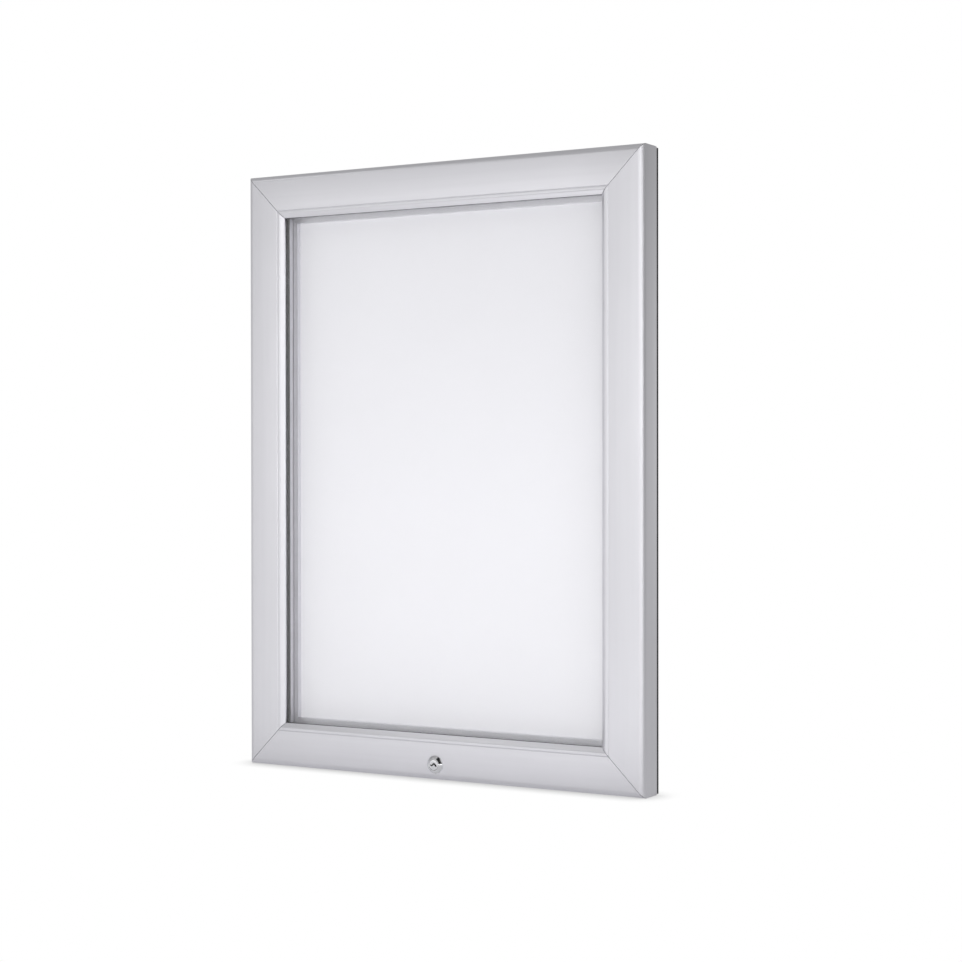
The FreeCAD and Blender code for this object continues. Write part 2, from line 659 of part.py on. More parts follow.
# ---------------------------------------------------------------- continuous hinge
KNUCKLES = 13
derive("knuckle_pitch", f"hinge_length / {KNUCKLES}")
derive("door_leaf_end_y", "web_y + leaf_end_gap")
derive("door_leaf_screw_y", "(door_leaf_end_y + hinge_y - hinge_radius) / 2")
derive("frame_leaf_end_y", "band_y + leaf_end_gap")
derive("frame_leaf_screw_y", "(frame_leaf_end_y - frame_back - hinge_leaf) / 2")
derive("door_leaf_z", "half_height - door_wall")
derive("frame_leaf_z", "half_height - frame_inset")


def knuckle_gaps(name, first):
    """Room for the other leaf's knuckles."""
    return [box(f"{name}_{index}",
                (f"-hinge_length / 2 + {index} * knuckle_pitch - hinge_slit / 2",
                 f"-hinge_length / 2 + {index + 1} * knuckle_pitch + hinge_slit / 2"),
                ("hinge_y - hinge_radius - hinge_gap", "hinge_y + hinge_radius + hinge_gap"),
                ("hinge_z - hinge_radius - hinge_gap", "hinge_z + hinge_radius + overcut"))
            for index in range(first, KNUCKLES, 2)]


def leaf_barrel(name, radius, extra="0"):
    return cylinder(name, "X", radius, f"hinge_length + 2 * ({extra})",
                    f"-hinge_length / 2 - ({extra})", "hinge_y", "hinge_z")


def hinge():
    width = ("-hinge_length / 2", "hinge_length / 2")
    bore = "hinge_pin_radius + hinge_running_clearance"
    frame_leaf = fuse("FrameLeaf", [
        leaf_barrel("FrameLeafBarrel", "hinge_radius"),
        box("FrameLeafWeb", width, ("-frame_back - hinge_leaf", "-frame_back"),
            ("frame_leaf_z", "hinge_z")),
        box("FrameLeafFoot", width, ("frame_leaf_end_y", "-frame_back"),
            ("frame_leaf_z", "frame_leaf_z + hinge_leaf")),
    ])
    frame_holes = [cylinder(f"FrameLeafHole_{index}", "Z", "hinge_screw_radius + screw_clearance",
                            "hinge_leaf + 2 * overcut", hinge_screw_x(index, FRAME_SCREW_SHIFT),
                            "frame_leaf_screw_y", "frame_leaf_z - overcut")
                   for index in range(HINGE_SCREW_COUNT)]
    keep(cut("FrameLeafCut", frame_leaf,
             [leaf_barrel("FrameLeafBore", bore, "overcut")] + knuckle_gaps("FrameGap", 1) + frame_holes),
         "hinge_leaf_back")

    door_leaf = fuse("DoorLeaf", [
        leaf_barrel("DoorLeafBarrel", "hinge_radius"),
        box("DoorLeafPlate", width, ("door_leaf_end_y", "hinge_y - hinge_pin_radius - hinge_gap"),
            ("door_leaf_z - hinge_leaf", "door_leaf_z")),
    ])
    door_holes = [cone(f"DoorLeafHole_{index}", "Z", "2 * hinge_screw_radius + screw_clearance",
                       "hinge_screw_radius + screw_clearance", "hinge_leaf",
                       hinge_screw_x(index, DOOR_SCREW_SHIFT), "door_leaf_screw_y",
                       "door_leaf_z - hinge_leaf")
                  for index in range(HINGE_SCREW_COUNT)]
    keep(cut("DoorLeafCut", door_leaf,
             [leaf_barrel("DoorLeafBore", bore, "overcut")] + knuckle_gaps("DoorGap", 0) + door_holes),
         "hinge_leaf_door")

    keep(leaf_barrel("HingePin", "hinge_pin_radius"), "hinge_pin")

    back_screws = []
    door_screws = []
    for index in range(HINGE_SCREW_COUNT):
        x = hinge_screw_x(index, FRAME_SCREW_SHIFT)
        back_screws.append(fuse(f"BackHingeScrew_{index}", [
            cylinder(f"BackHingeShank_{index}", "Z", "hinge_screw_radius", "hinge_screw_length",
                     x, "frame_leaf_screw_y", "frame_leaf_z + hinge_leaf - hinge_screw_length"),
            cylinder(f"BackHingeHead_{index}", "Z", "2 * hinge_screw_radius", "hinge_screw_head",
                     x, "frame_leaf_screw_y", "frame_leaf_z + hinge_leaf"),
        ]))
        x = hinge_screw_x(index, DOOR_SCREW_SHIFT)
        door_screws.append(fuse(f"DoorHingeScrew_{index}", [
            cylinder(f"DoorHingeShank_{index}", "Z", "hinge_screw_radius",
                     "door_wall - hinge_hole_skin - screw_tip_room", x, "door_leaf_screw_y",
                     "door_leaf_z"),
            cone(f"DoorHingeHead_{index}", "Z", "2 * hinge_screw_radius", "hinge_screw_radius",
                 "hinge_leaf", x, "door_leaf_screw_y", "door_leaf_z - hinge_leaf"),
        ]))
    keep(group("BackHingeScrews", back_screws), "hinge_screws_back")
    keep(group("DoorHingeScrews", door_screws), "hinge_screws_door")


# ---------------------------------------------------------------- lock and keeper
def keeper_opening(name):
    return box(name, ("-slot_half_length", "slot_half_length"),
               ("band_y - overcut", "band_rear_y + keeper_thickness + overcut"),
               ("lock_z - slot_half_height", "lock_z + slot_half_height"))


def keeper_screw_shapes(name, extra):
    """Countersunk screws through the rail into the keeper, or with extra room their seats."""
    shapes = []
    for sign in ("-", ""):
        tag = f"{name}_{'L' if sign else 'R'}"
        x = f"{sign}(keeper_width / 2 - keeper_screw_inset)"
        radius = f"keeper_screw_radius + {extra}"
        shapes.append(fuse(tag, [
            cone(tag + "_head", "Y", f"keeper_screw_radius + {radius}", radius, "keeper_screw_radius",
                 x, "band_y", "keeper_z"),
            cylinder(tag + "_shank", "Y", radius, f"frame_wall + keeper_thickness + {extra}",
                     x, "band_y", "keeper_z"),
        ]))
    return shapes


def keeper():
    plate = box("KeeperBlank", ("-keeper_width / 2", "keeper_width / 2"),
                ("band_rear_y", "band_rear_y + keeper_thickness"),
                ("keeper_z - keeper_height / 2", "keeper_z + keeper_height / 2"))
    keep(cut("KeeperCut", plate, [keeper_opening("KeeperSlot")] + keeper_screw_shapes(
        "KeeperHole", "screw_clearance")), "keeper_plate")
    keep(group("KeeperScrews", keeper_screw_shapes("KeeperScrew", "0")), "keeper_screws")


def lock():
    barrel_end = "cam_y - cam_end_play"
    face_y = "front_y - lock_stand_out"
    bore = cylinder("LockBore", "Y", "plug_radius + plug_running_clearance",
                    f"{barrel_end} - ({face_y}) + 2 * overcut", "0", f"{face_y} - overcut", "lock_z")
    body = fuse("LockSolid", [
        cone("LockCollar", "Y", "lock_face_radius", "lock_collar_radius",
             "lock_stand_out - lock_collar_edge", "0", face_y, "lock_z"),
        cylinder("LockCollarBase", "Y", "lock_collar_radius", "lock_collar_edge", "0",
                 "front_y - lock_collar_edge", "lock_z"),
        cylinder("LockBarrel", "Y", "lock_barrel_radius", f"{barrel_end} - front_y",
                 "0", "front_y", "lock_z"),
    ])
    keep(cut("LockBodyCut", body, [bore]), "lock_body")

    nut = doc.addObject("Part::Prism", "LockNutHex")
    nut.Polygon = 6
    nut.Placement = FreeCAD.Placement(FreeCAD.Vector(), ALONG["Y"])
    bind(nut, "Circumradius", "lock_nut_radius")
    bind(nut, "Height", "lock_nut_height")
    place(nut, "0", "skin_y", "lock_z")
    keep(cut("LockNutCut", nut, [cylinder("LockNutBore", "Y", "lock_barrel_radius + screw_clearance",
                                          "lock_nut_height + 2 * overcut", "0",
                                          "skin_y - overcut", "lock_z")]), "lock_nut")

    tail = "cam_y + cam_thickness"
    plug = fuse("PlugSolid", [
        cylinder("PlugRound", "Y", "plug_radius", f"{barrel_end} - ({face_y})", "0", face_y, "lock_z"),
        box("PlugTail", ("-tail_width / 2", "tail_width / 2"), (barrel_end, tail),
            ("lock_z - tail_width / 2", "lock_z + tail_width / 2")),
    ])
    slot_y = (f"{face_y} - overcut", f"{face_y} + keyway_depth")
    keyway = box("Keyway", ("-keyway_width / 2", "keyway_width / 2"), slot_y,
                 ("lock_z - keyway_height / 2", "lock_z + keyway_height / 2"))
    ward = box("KeywayWard", ("-ward_width / 2", "ward_width / 2"), slot_y,
               ("lock_z - ward_drop", "lock_z"))
    thread = cylinder("CamScrewHole", "Y", "cam_screw_radius + screw_clearance",
                      "cam_screw_length + 2 * overcut", "0", f"{tail} - cam_screw_length - overcut",
                      "lock_z")
    keep(cut("PlugCut", plug, [keyway, ward, thread]), "lock_plug")

    cam = fuse("CamSolid", [
        box("CamArm", ("0", "cam_reach"), ("cam_y", tail),
            ("lock_z - cam_width / 2", "lock_z + cam_width / 2")),
        cylinder("CamRound", "Y", "cam_width / 2", "cam_thickness", "0", "cam_y", "lock_z"),
    ])
    half_square = "(tail_width / 2 + tail_clearance)"
    keep(cut("CamCut", cam, [box("CamSquare", (f"-{half_square}", half_square),
                                 ("cam_y - overcut", f"{tail} + overcut"),
                                 (f"lock_z - {half_square}", f"lock_z + {half_square}"))]), "lock_cam")
    keep(fuse("CamScrew", [
        cylinder("CamScrewShank", "Y", "cam_screw_radius", "cam_screw_length", "0",
                 f"{tail} - cam_screw_length", "lock_z"),
        cylinder("CamScrewHead", "Y", "cam_screw_head_radius", "cam_screw_head_height", "0", tail,
                 "lock_z"),
    ]), "cam_screw")


# ---------------------------------------------------------------- stays
def stay(side):
    sign = -1 if side == "left" else 1

    def along(inwards, length):
        """Low end in X of a piece that starts at a distance from the outer edge and goes inwards."""
        if sign > 0:
            return f"half_width - ({inwards}) - ({length})"
        return f"({inwards}) - half_width"

    slide_y = "hinge_y - slide_rest * sin(slot_tilt * 1deg)"
    slide_z = "hinge_z - slide_rest * cos(slot_tilt * 1deg)"
    body = new_body(f"StayArm_{side}")
    sketch = new_sketch(body, "YZ_Plane")
    outline(sketch, [("-stay_width / 2", "0"), ("stay_width / 2", "0"),
                     ("stay_width / 2", "stay_length"), ("-stay_width / 2", "stay_length")])
    pad(body, sketch, "stay_thickness")
    lean = "stay_angle - slot_tilt"
    body.Placement = FreeCAD.Placement(
        FreeCAD.Vector(number(along("stay_in", "stay_thickness")), number(slide_y), number(slide_z)),
        FreeCAD.Rotation(FreeCAD.Vector(1, 0, 0), number(lean)))
    place(body, along("stay_in", "stay_thickness"), slide_y, slide_z)
    bind(body, "Placement.Rotation.Angle", f"({lean}) * 1deg")
    start = along("stay_in", "stay_thickness")
    arm = fuse(f"StayArmSolid_{side}", [body] + [
        cylinder(f"StayEnd_{side}_{name}", "X", "stay_width / 2", "stay_thickness", start, y, z)
        for name, y, z in (("slide", slide_y, slide_z), ("pivot", "stay_pivot_y", "stay_pivot_z"))])
    wide_start = along("stay_in - overcut", "stay_thickness + 2 * overcut")
    keep(cut(f"StayArmCut_{side}", arm, [
        cylinder(f"StayPivotHole_{side}", "X", "stay_pivot_radius + stay_running_clearance",
                 "stay_thickness + 2 * overcut", wide_start, "stay_pivot_y", "stay_pivot_z"),
        cylinder(f"StaySlideHole_{side}", "X", "slide_pin_radius", "stay_thickness + 2 * overcut",
                 wide_start, slide_y, slide_z),
    ]), f"stay_arm_{side}")

    # The slide pin is riveted in the arm, crosses the slot and ends in a head inside the back frame.
    shank = "frame_inset + frame_wall + slide_head_play - stay_in"
    keep(fuse(f"SlidePin_{side}", [
        cylinder(f"SlideShank_{side}", "X", "slide_pin_radius", shank, along("stay_in", shank),
                 slide_y, slide_z),
        cylinder(f"SlideHead_{side}", "X", "slide_head_radius", "slide_head_height",
                 along("frame_inset + frame_wall + slide_head_play", "slide_head_height"),
                 slide_y, slide_z),
    ]), f"stay_slide_pin_{side}")

    # The stud stands on the inside of the door's side, so nothing of it shows from outside.
    head_in = "stay_in + stay_thickness + stud_end_play"
    stud = f"{head_in} - door_wall"
    return fuse(f"StayStud_{side}", [
        cylinder(f"StudShank_{side}", "X", "stay_pivot_radius", stud, along("door_wall", stud),
                 "stay_pivot_y", "stay_pivot_z"),
        cylinder(f"StudFoot_{side}", "X", "stay_pivot_radius + stud_shoulder",
                 "stay_side_gap - stud_end_play", along("door_wall", "stay_side_gap - stud_end_play"),
                 "stay_pivot_y", "stay_pivot_z"),
        cylinder(f"StudHead_{side}", "X", "stay_pivot_radius + stud_shoulder", "stud_head_height",
                 along(head_in, "stud_head_height"), "stay_pivot_y", "stay_pivot_z"),
    ])


# ---------------------------------------------------------------- build
for side_name in SIDES:
    door_rail(side_name)
    back_rail(side_name)
    glazing_bead(side_name)

keep(flat_sheet("BackingPanel", "box_in + key_clearance", ("panel_y", "shelf_y")), "backing_panel")
keep(flat_sheet("Poster", "poster_in", ("poster_y", "panel_y")), "poster_insert")
keep(flat_sheet("Glazing", "door_rail_width - glazing_bite", ("glazing_front_y", "glazing_rear_y")),
     "glazing_sheet")
keep(ring("GlazingTape", "door_rail_width - lip_seat", "door_rail_width - sheet_clearance",
          ("seat_y", "glazing_front_y")), "glazing_gasket")
keep(ring("FoamStrip", "leg_in + door_seal_setback", "leg_in + door_seal_setback + door_seal_width",
          ("bead_flange_y + seal_clearance", "band_y")), "door_seal")
weather_seal()

DOOR_KEY_Y = ("skin_y + key_clearance", "skin_y + key_clearance + key_thickness")
FRAME_KEY_Y = ("band_rear_y + key_clearance", "band_rear_y + key_clearance + key_thickness")
corner_keys("DoorKey", "front_radius + key_clearance", "chamber_in - key_clearance", DOOR_KEY_Y,
            DOOR_KEY_SPOTS, "door_corner_keys")
corner_keys("BackKey", "frame_key_in - back_key_width / 2",
            "frame_key_in + back_key_width / 2", FRAME_KEY_Y, FRAME_KEY_SPOTS,
            "back_corner_keys")
set_screws("DoorSetScrew", (f"{DOOR_KEY_Y[0]} + set_screw_lift", "web_y - set_screw_recess"),
           DOOR_KEY_SPOTS, "door_key_screws")
set_screws("BackSetScrew", ("band_y + set_screw_recess", f"{FRAME_KEY_Y[1]} - set_screw_lift"),
           FRAME_KEY_SPOTS, "back_key_screws")

hinge()
keeper()
lock()
keep(group("StayStuds", [stay("left"), stay("right")]), "stay_studs")

doc.recompute()

# ---------------------------------------------------------------- checks and files
faults = [f"{item.Name}: {item.State}" for item in doc.Objects
          if "Invalid" in item.State or "Error" in item.State]
for node, item in parts.items():
    if item.Shape.isNull() or not item.Shape.isValid():
        faults.append(f"{node}: bad shape")
if faults:
    raise RuntimeError("; ".join(faults))

os.makedirs("parts", exist_ok=True)
for node, item in sorted(parts.items()):
    item.Shape.exportStep(os.path.join("parts", node + ".step"))
    print(f"{node}: {len(item.Shape.Solids)} solids, {item.Shape.Volume:.0f} mm3")
for name in ("case_width", "case_height", "hinge_y", "hinge_z", "stay_pivot_y", "stay_pivot_z",
             "lock_z", "cam_y", "poster_y", "glazing_rear_y"):
    print(f"{name} = {number(name):.3f}")
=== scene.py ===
import json
import math
from functools import cache

import bmesh
import bpy
import numpy as np
from mathutils import Matrix, Vector
from mathutils.geometry import tessellate_polygon


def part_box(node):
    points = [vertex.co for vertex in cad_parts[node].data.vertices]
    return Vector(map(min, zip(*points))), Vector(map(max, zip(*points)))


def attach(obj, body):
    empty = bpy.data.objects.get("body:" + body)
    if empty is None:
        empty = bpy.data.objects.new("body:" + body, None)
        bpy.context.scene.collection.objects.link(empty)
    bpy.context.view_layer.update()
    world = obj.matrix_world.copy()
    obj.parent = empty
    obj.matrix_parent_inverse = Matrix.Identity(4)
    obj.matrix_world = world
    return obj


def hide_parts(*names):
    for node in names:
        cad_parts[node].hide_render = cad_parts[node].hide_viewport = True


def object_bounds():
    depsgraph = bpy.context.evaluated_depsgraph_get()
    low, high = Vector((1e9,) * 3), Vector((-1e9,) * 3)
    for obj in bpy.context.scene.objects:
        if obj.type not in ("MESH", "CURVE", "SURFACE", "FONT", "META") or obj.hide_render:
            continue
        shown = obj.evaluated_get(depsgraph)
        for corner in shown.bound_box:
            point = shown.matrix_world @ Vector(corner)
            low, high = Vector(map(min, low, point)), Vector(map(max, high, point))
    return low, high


# A wall-mounted, lockable poster case: an aluminium back frame with a card under its ledge, and a glazed
# door on a continuous hinge along the top. X is to the right, Y goes backwards into the wall, Z is up.
# Sizes are metres. Rail sections are drawn against Y and the distance inwards from the case's outer edge.

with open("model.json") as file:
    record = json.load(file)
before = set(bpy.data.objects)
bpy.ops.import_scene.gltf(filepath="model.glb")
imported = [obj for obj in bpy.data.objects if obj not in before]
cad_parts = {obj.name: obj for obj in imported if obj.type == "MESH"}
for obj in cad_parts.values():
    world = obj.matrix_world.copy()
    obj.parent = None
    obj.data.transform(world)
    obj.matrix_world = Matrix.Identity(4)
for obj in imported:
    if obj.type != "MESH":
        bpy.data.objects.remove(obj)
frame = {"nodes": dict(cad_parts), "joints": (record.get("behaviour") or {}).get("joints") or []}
cad_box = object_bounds()

bl_info = {
    "name": "Poster Case",
    "version": (1, 0, 0),
    "blender": (4, 5, 0),
    "location": "View3D > Sidebar > Poster Case",
    "description": "Builds the visible surfaces and finishes of a lockable poster case round its frame",
    "category": "Object",
}

MM = 0.001


# ---------------------------------------------------------------- places read from the frame
def low(node, axis):
    """Lowest coordinate of a node along an axis, by letter."""
    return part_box(node)[0]["xyz".index(axis)]


def high(node, axis):
    """Highest coordinate of a node along an axis, by letter."""
    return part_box(node)[1]["xyz".index(axis)]


CASE_HALF_WIDTH = high("door_rail_right", "x")
# The side rails of the door end this far short of the case's corners.
RAIL_END_CUT = 0.17 * MM
CASE_HALF_HEIGHT = high("door_rail_right", "z") + RAIL_END_CUT
FRONT_Y = low("door_rail_left", "y")
DOOR_REAR_Y = high("door_rail_left", "y")
RAIL_WIDTH = high("door_rail_left", "x") - low("door_rail_left", "x")
SIDES = {"top": 0, "bottom": 180, "left": -90, "right": 90}


def joint(name):
    """A joint of the frame, by name."""
    return next(item for item in frame["joints"] if item["name"] == name)


# ---------------------------------------------------------------- settings
def metres(name, description, default):
    """A size in metres."""
    return bpy.props.FloatProperty(name=name, description=description, default=default, unit="LENGTH")


def radians(name, description, default):
    """An angle in radians."""
    return bpy.props.FloatProperty(name=name, description=description, default=default, subtype="ANGLE")


def tint(name, description, default):
    """A linear colour."""
    return bpy.props.FloatVectorProperty(
        name=name, description=description, default=default, subtype="COLOR", min=0, max=1)


class RailSettings(bpy.types.PropertyGroup):
    """Shape of the door's extrusion."""
    wall: metres("Wall", "Skin of the extrusion", 1.8 * MM)
    front_radius: metres("Front radius", "Rounded outer front edge", 6.9 * MM)
    rear_radius: metres("Rear radius", "Rounded rear edge", 0.8 * MM)
    edge_radius: metres("Edge radius", "Small edges of the section", 0.25 * MM)
    lip_slant: metres("Lip slant", "Width of the sloping lip", 5 * MM)
    lip_drop: metres("Lip drop", "Depth of the sloping lip", 3.4 * MM)
    lip_seat: metres("Lip seat", "Seat of the glazing tape", 3.5 * MM)
    groove_inset: metres("Groove inset", "Outer line from the inner edge", 8.8 * MM)
    groove_width: metres("Groove width", "Decorative line", 1.0 * MM)
    groove_depth: metres("Groove depth", "Decorative line", 0.5 * MM)
    rebate: metres("Rebate", "Channel behind the lip", 19.5 * MM)
    web: metres("Web", "Inner walls", 1.4 * MM)
    hook_reach: metres("Hook reach", "Hook for the glazing bead", 1.2 * MM)
    hook_thickness: metres("Hook thickness", "Hook for the glazing bead", 1 * MM)
    screw_bore: metres("Screw bore", "Radius over each corner key's screw", 2.1 * MM)
    hinge_relief: metres("Hinge relief", "Step for the hinge leaf at the top rail", 2.8 * MM)
    mitre_gap: metres("Mitre gap", "Joint line, per rail", 0.16 * MM)
    mitre_ease: metres("Mitre ease", "Bevel along each mitre", 0.2 * MM)


class LockSettings(bpy.types.PropertyGroup):
    """Shape of the lock's collar and plug, and of its holes in the rail."""
    hole: metres("Hole", "Radius of the hole in the rail's front", 8.1 * MM)
    nut_hole: metres("Nut hole", "Radius of the hole in the rail's rear", 11.47 * MM)
    ring_radius: metres("Ring radius", "Flat front ring of the collar", 6.9 * MM)
    edge: metres("Edge", "Straight edge of the collar on the rail", 0.8 * MM)
    ease: metres("Ease", "Rounded edges", 0.4 * MM)
    key_length: metres("Key length", "Keyway, end to end", 8 * MM)
    key_width: metres("Key width", "Keyway", 2.2 * MM)
    key_wave: metres("Key wave", "Height of the keyway's wave", 1.1 * MM)
    key_depth: metres("Key depth", "Keyway, from the face", 12 * MM)


class FinishSettings(bpy.types.PropertyGroup):
    """Colours of the finishes."""
    anodised: tint("Anodised", "Silver anodised rails", (0.80, 0.795, 0.832))
    mill: tint("Mill", "Plain inner aluminium", (0.70, 0.70, 0.72))
    steel: tint("Steel", "Stainless steel", (0.60, 0.595, 0.59))
    chrome: tint("Chrome", "Polished lock", (0.80, 0.80, 0.82))
    rubber: tint("Rubber", "Seals and tape", (0.035, 0.035, 0.038))
    card: tint("Card", "Plain insert", (0.90, 0.895, 0.93))
    board: tint("Board", "Backing panel", (0.62, 0.62, 0.63))


class StudioSettings(bpy.types.PropertyGroup):
    """Camera and light."""
    azimuth: radians("Azimuth", "Camera to the right of straight ahead", 0.5330191)
    elevation: radians("Elevation", "Camera above the horizon", 0.00886378)
    roll: radians("Roll", "Camera's roll", -0.00119165)
    distance: metres("Distance", "Camera to its target", 2.237184)
    target_x: metres("Target X", "Where the camera looks", 59.7746 * MM)
    target_z: metres("Target Z", "Where the camera looks", -10.9437 * MM)
    lens: bpy.props.FloatProperty(
        name="Lens", description="Focal length in millimetres", default=76.147)
    floor_size: metres("Floor size", "Edge of the floor", 12)
    contact: metres("Contact", "Reach of the shadow at the foot", 28 * MM)
    floor_lift: bpy.props.FloatProperty(
        name="Floor lift", description="Glow of the floor before the case", default=0.36)
    key_power: bpy.props.FloatProperty(
        name="Key power", description="Soft front light, in watts", default=1.72)


SETTINGS = (RailSettings, LockSettings, FinishSettings, StudioSettings)


# ---------------------------------------------------------------- meshes from arrays
def rounded(corners, steps=4):
    """Closed outline with its corners rounded.

    Each corner is (u, v) or (u, v, radius). A circle of that radius touches both edges that meet there:
    the touching points lie radius / tan(half the corner's angle) from the corner, and the arc between
    them is cut into equal turns, more of them on a larger circle.
    """
    points = np.array([corner[:2] for corner in corners], float)
    pieces = []
    for index, corner in enumerate(corners):
        here = points[index]
        if len(corner) < 3:
            pieces.append(here[None, :])
            continue
        back = points[index - 1] - here
        ahead = points[(index + 1) % len(points)] - here
        back /= np.linalg.norm(back)
        ahead /= np.linalg.norm(ahead)
        half = math.acos(np.clip(back @ ahead, -1, 1)) / 2
        middle = (back + ahead) / np.linalg.norm(back + ahead)
        centre = here + middle * corner[2] / math.sin(half)
        start = here + back * corner[2] / math.tan(half) - centre
        turn = math.copysign(math.pi - 2 * half, back[1] * ahead[0] - back[0] * ahead[1])
        count = steps if corner[2] < 1 * MM else 4 * steps
        angles = np.linspace(0, turn, count + 1)
        pieces.append(centre + np.stack([
            start[0] * np.cos(angles) - start[1] * np.sin(angles),
            start[0] * np.sin(angles) + start[1] * np.cos(angles)], axis=1))
    return np.concatenate(pieces)


def area(loop):
    """Signed area of a closed outline, half the sum of the cross products of neighbouring points."""
    following = np.roll(loop, -1, axis=0)
    return 0.5 * np.sum(loop[:, 0] * following[:, 1] - following[:, 0] * loop[:, 1])


def shrunk(loop, depth):
    """The outline moved inwards by a depth, each point along the mean normal of its two edges."""
    edges = np.roll(loop, -1, axis=0) - loop
    edges /= np.linalg.norm(edges, axis=1, keepdims=True)
    normals = np.stack([-edges[:, 1], edges[:, 0]], axis=1) * np.sign(area(loop))
    mean = normals + np.roll(normals, 1, axis=0)
    mean /= np.maximum(np.sum(mean * mean, axis=1, keepdims=True) / 2, 0.5)
    return loop + mean * depth


def ring_faces(rings, points, offset=0, flip=False):
    """Quads between neighbouring rings of a grid whose second direction closes on itself."""
    ring, point = np.meshgrid(np.arange(rings - 1), np.arange(points), indexing="ij")
    after = (point + 1) % points
    quads = np.stack([ring * points + point, ring * points + after,
                      (ring + 1) * points + after, (ring + 1) * points + point], axis=-1)
    quads = quads.reshape(-1, 4) + offset
    return quads[:, ::-1] if flip else quads


def new_piece(name, points, faces, sharp=35):
    """Object at the origin from an array of points and lists of faces; edges over an angle are sharp."""
    mesh = bpy.data.meshes.new(name)
    mesh.from_pydata(np.asarray(points, float).tolist(), [], [list(map(int, face)) for face in faces])
    mesh.validate()
    piece = bpy.data.objects.new(name, mesh)
    bpy.context.scene.collection.objects.link(piece)
    mend(piece)
    soften(piece, sharp)
    return piece


def mend(piece):
    """Merge doubled points, drop faces with no area and turn every face outwards."""
    work = bmesh.new()
    work.from_mesh(piece.data)
    bmesh.ops.remove_doubles(work, verts=work.verts, dist=0.001 * MM)
    bmesh.ops.dissolve_degenerate(work, edges=work.edges, dist=0.001 * MM)
    bmesh.ops.recalc_face_normals(work, faces=work.faces)
    work.to_mesh(piece.data)
    work.free()


def soften(piece, sharp=35):
    """Smooth shading, with sharp edges where two faces meet at more than an angle in degrees."""
    piece.data.polygons.foreach_set("use_smooth", np.ones(len(piece.data.polygons), bool))
    piece.data.set_sharp_from_angle(angle=math.radians(sharp))


def carve(piece, tool, operation="DIFFERENCE"):
    """Take a tool out of a piece, or join it on, and remove the tool."""
    modifier = piece.modifiers.new("carve", "BOOLEAN")
    modifier.object = tool
    modifier.operation = operation
    modifier.solver = "EXACT"
    depsgraph = bpy.context.evaluated_depsgraph_get()
    mesh = bpy.data.meshes.new_from_object(piece.evaluated_get(depsgraph))
    piece.modifiers.clear()
    piece.data = mesh
    bpy.data.objects.remove(tool)
    soften(piece)


def joined(name, pieces):
    """One object from several, each a closed shell."""
    work = bmesh.new()
    for piece in pieces:
        work.from_mesh(piece.data)
    mesh = bpy.data.meshes.new(name)
    work.to_mesh(mesh)
    work.free()
    for piece in pieces:
        bpy.data.objects.remove(piece)
    whole = bpy.data.objects.new(name, mesh)
    bpy.context.scene.collection.objects.link(whole)
    soften(whole)
    return whole


def turned(points, side):
    """Points of the top rail turned about Y to another side of the case."""
    angle = math.radians(SIDES[side])
    matrix = np.array([[math.cos(angle), 0, math.sin(angle)], [0, 1, 0],
                       [-math.sin(angle), 0, math.cos(angle)]])
    return points @ matrix.T


def mitred_bar(name, side, loops, gap, ease, stations=9):
    """A section carried along a rail and cut at 45 degrees at both ends.

    A section point (y, inwards) lies at z = reach - inwards, and its x runs evenly from one mitre to the
    other: half length - inwards - gap * sqrt(2). At each end the outer loop is drawn in by the ease over
    the same length, which bevels the joint line. The first loop is the outside and any other a hollow.
    """
    upright = side in ("left", "right")
    reach = CASE_HALF_WIDTH if upright else CASE_HALF_HEIGHT
    half_length = CASE_HALF_HEIGHT if upright else CASE_HALF_WIDTH
    points = []
    faces = []
    caps = ([], [])
    offset = 0
    for number, loop in enumerate(loops):
        outside = number == 0
        drawn_in = shrunk(loop, ease) if outside else loop
        inner = np.linspace(-1, 1, stations)
        rings = [drawn_in] + [loop] * stations + [drawn_in]
        shares = np.concatenate([[-1], inner, [1]])
        backs = np.concatenate([[0], np.full(stations, ease), [0]])
        for ring, share, back in zip(rings, shares, backs):
            end = half_length - ring[:, 1] - gap * math.sqrt(2) - back
            points.append(np.stack([share * end, ring[:, 0], reach - ring[:, 1]], axis=1))
        faces.extend(ring_faces(len(rings), len(loop), offset))
        caps[0].append(offset + np.arange(len(loop)))
        caps[1].append(offset + (len(rings) - 1) * len(loop) + np.arange(len(loop)))
        offset += len(rings) * len(loop)
    points = np.concatenate(points)
    for cap in caps:
        order = np.concatenate(cap)
        outlines = [[Vector((points[index][1], points[index][2], 0)) for index in loop] for loop in cap]
        faces.extend(order[list(triangle)] for triangle in tessellate_polygon(outlines))
    return new_piece(name, turned(points, side), faces)


def lathe(name, outline, centre, turns=96):
    """A closed outline of (radius, y) spun about a centre line along Y.

    Point k of a ring lies at angle 2 pi k / turns; rings of radius 0 close into a pole.
    """
    angles = np.linspace(0, 2 * math.pi, turns, endpoint=False)
    radius = outline[:, 0][:, None]
    along = np.repeat(outline[:, 1][:, None], turns, axis=1)
    across = radius * np.cos(angles)[None, :]
    up = radius * np.sin(angles)[None, :]
    points = np.stack([across, along, up], axis=-1).reshape(-1, 3) + np.array(centre)
    rings = len(outline)
    faces = list(ring_faces(rings, turns))
    last = np.arange(turns)
    after = (last + 1) % turns
    end = (rings - 1) * turns
    faces += list(np.stack([end + last, end + after, after, last], axis=1))
    return new_piece(name, points, faces, 30)


def prism(name, outline, start, end):
    """A flat outline of (x, z) carried straight along Y from start to end, with both ends closed."""
    count = len(outline)
    layers = [np.stack([outline[:, 0], np.full(count, depth), outline[:, 1]], axis=1)
              for depth in (start, end)]
    faces = list(ring_faces(2, count)) + [np.arange(count), count + np.arange(count)[::-1]]
    return new_piece(name, np.concatenate(layers), faces)


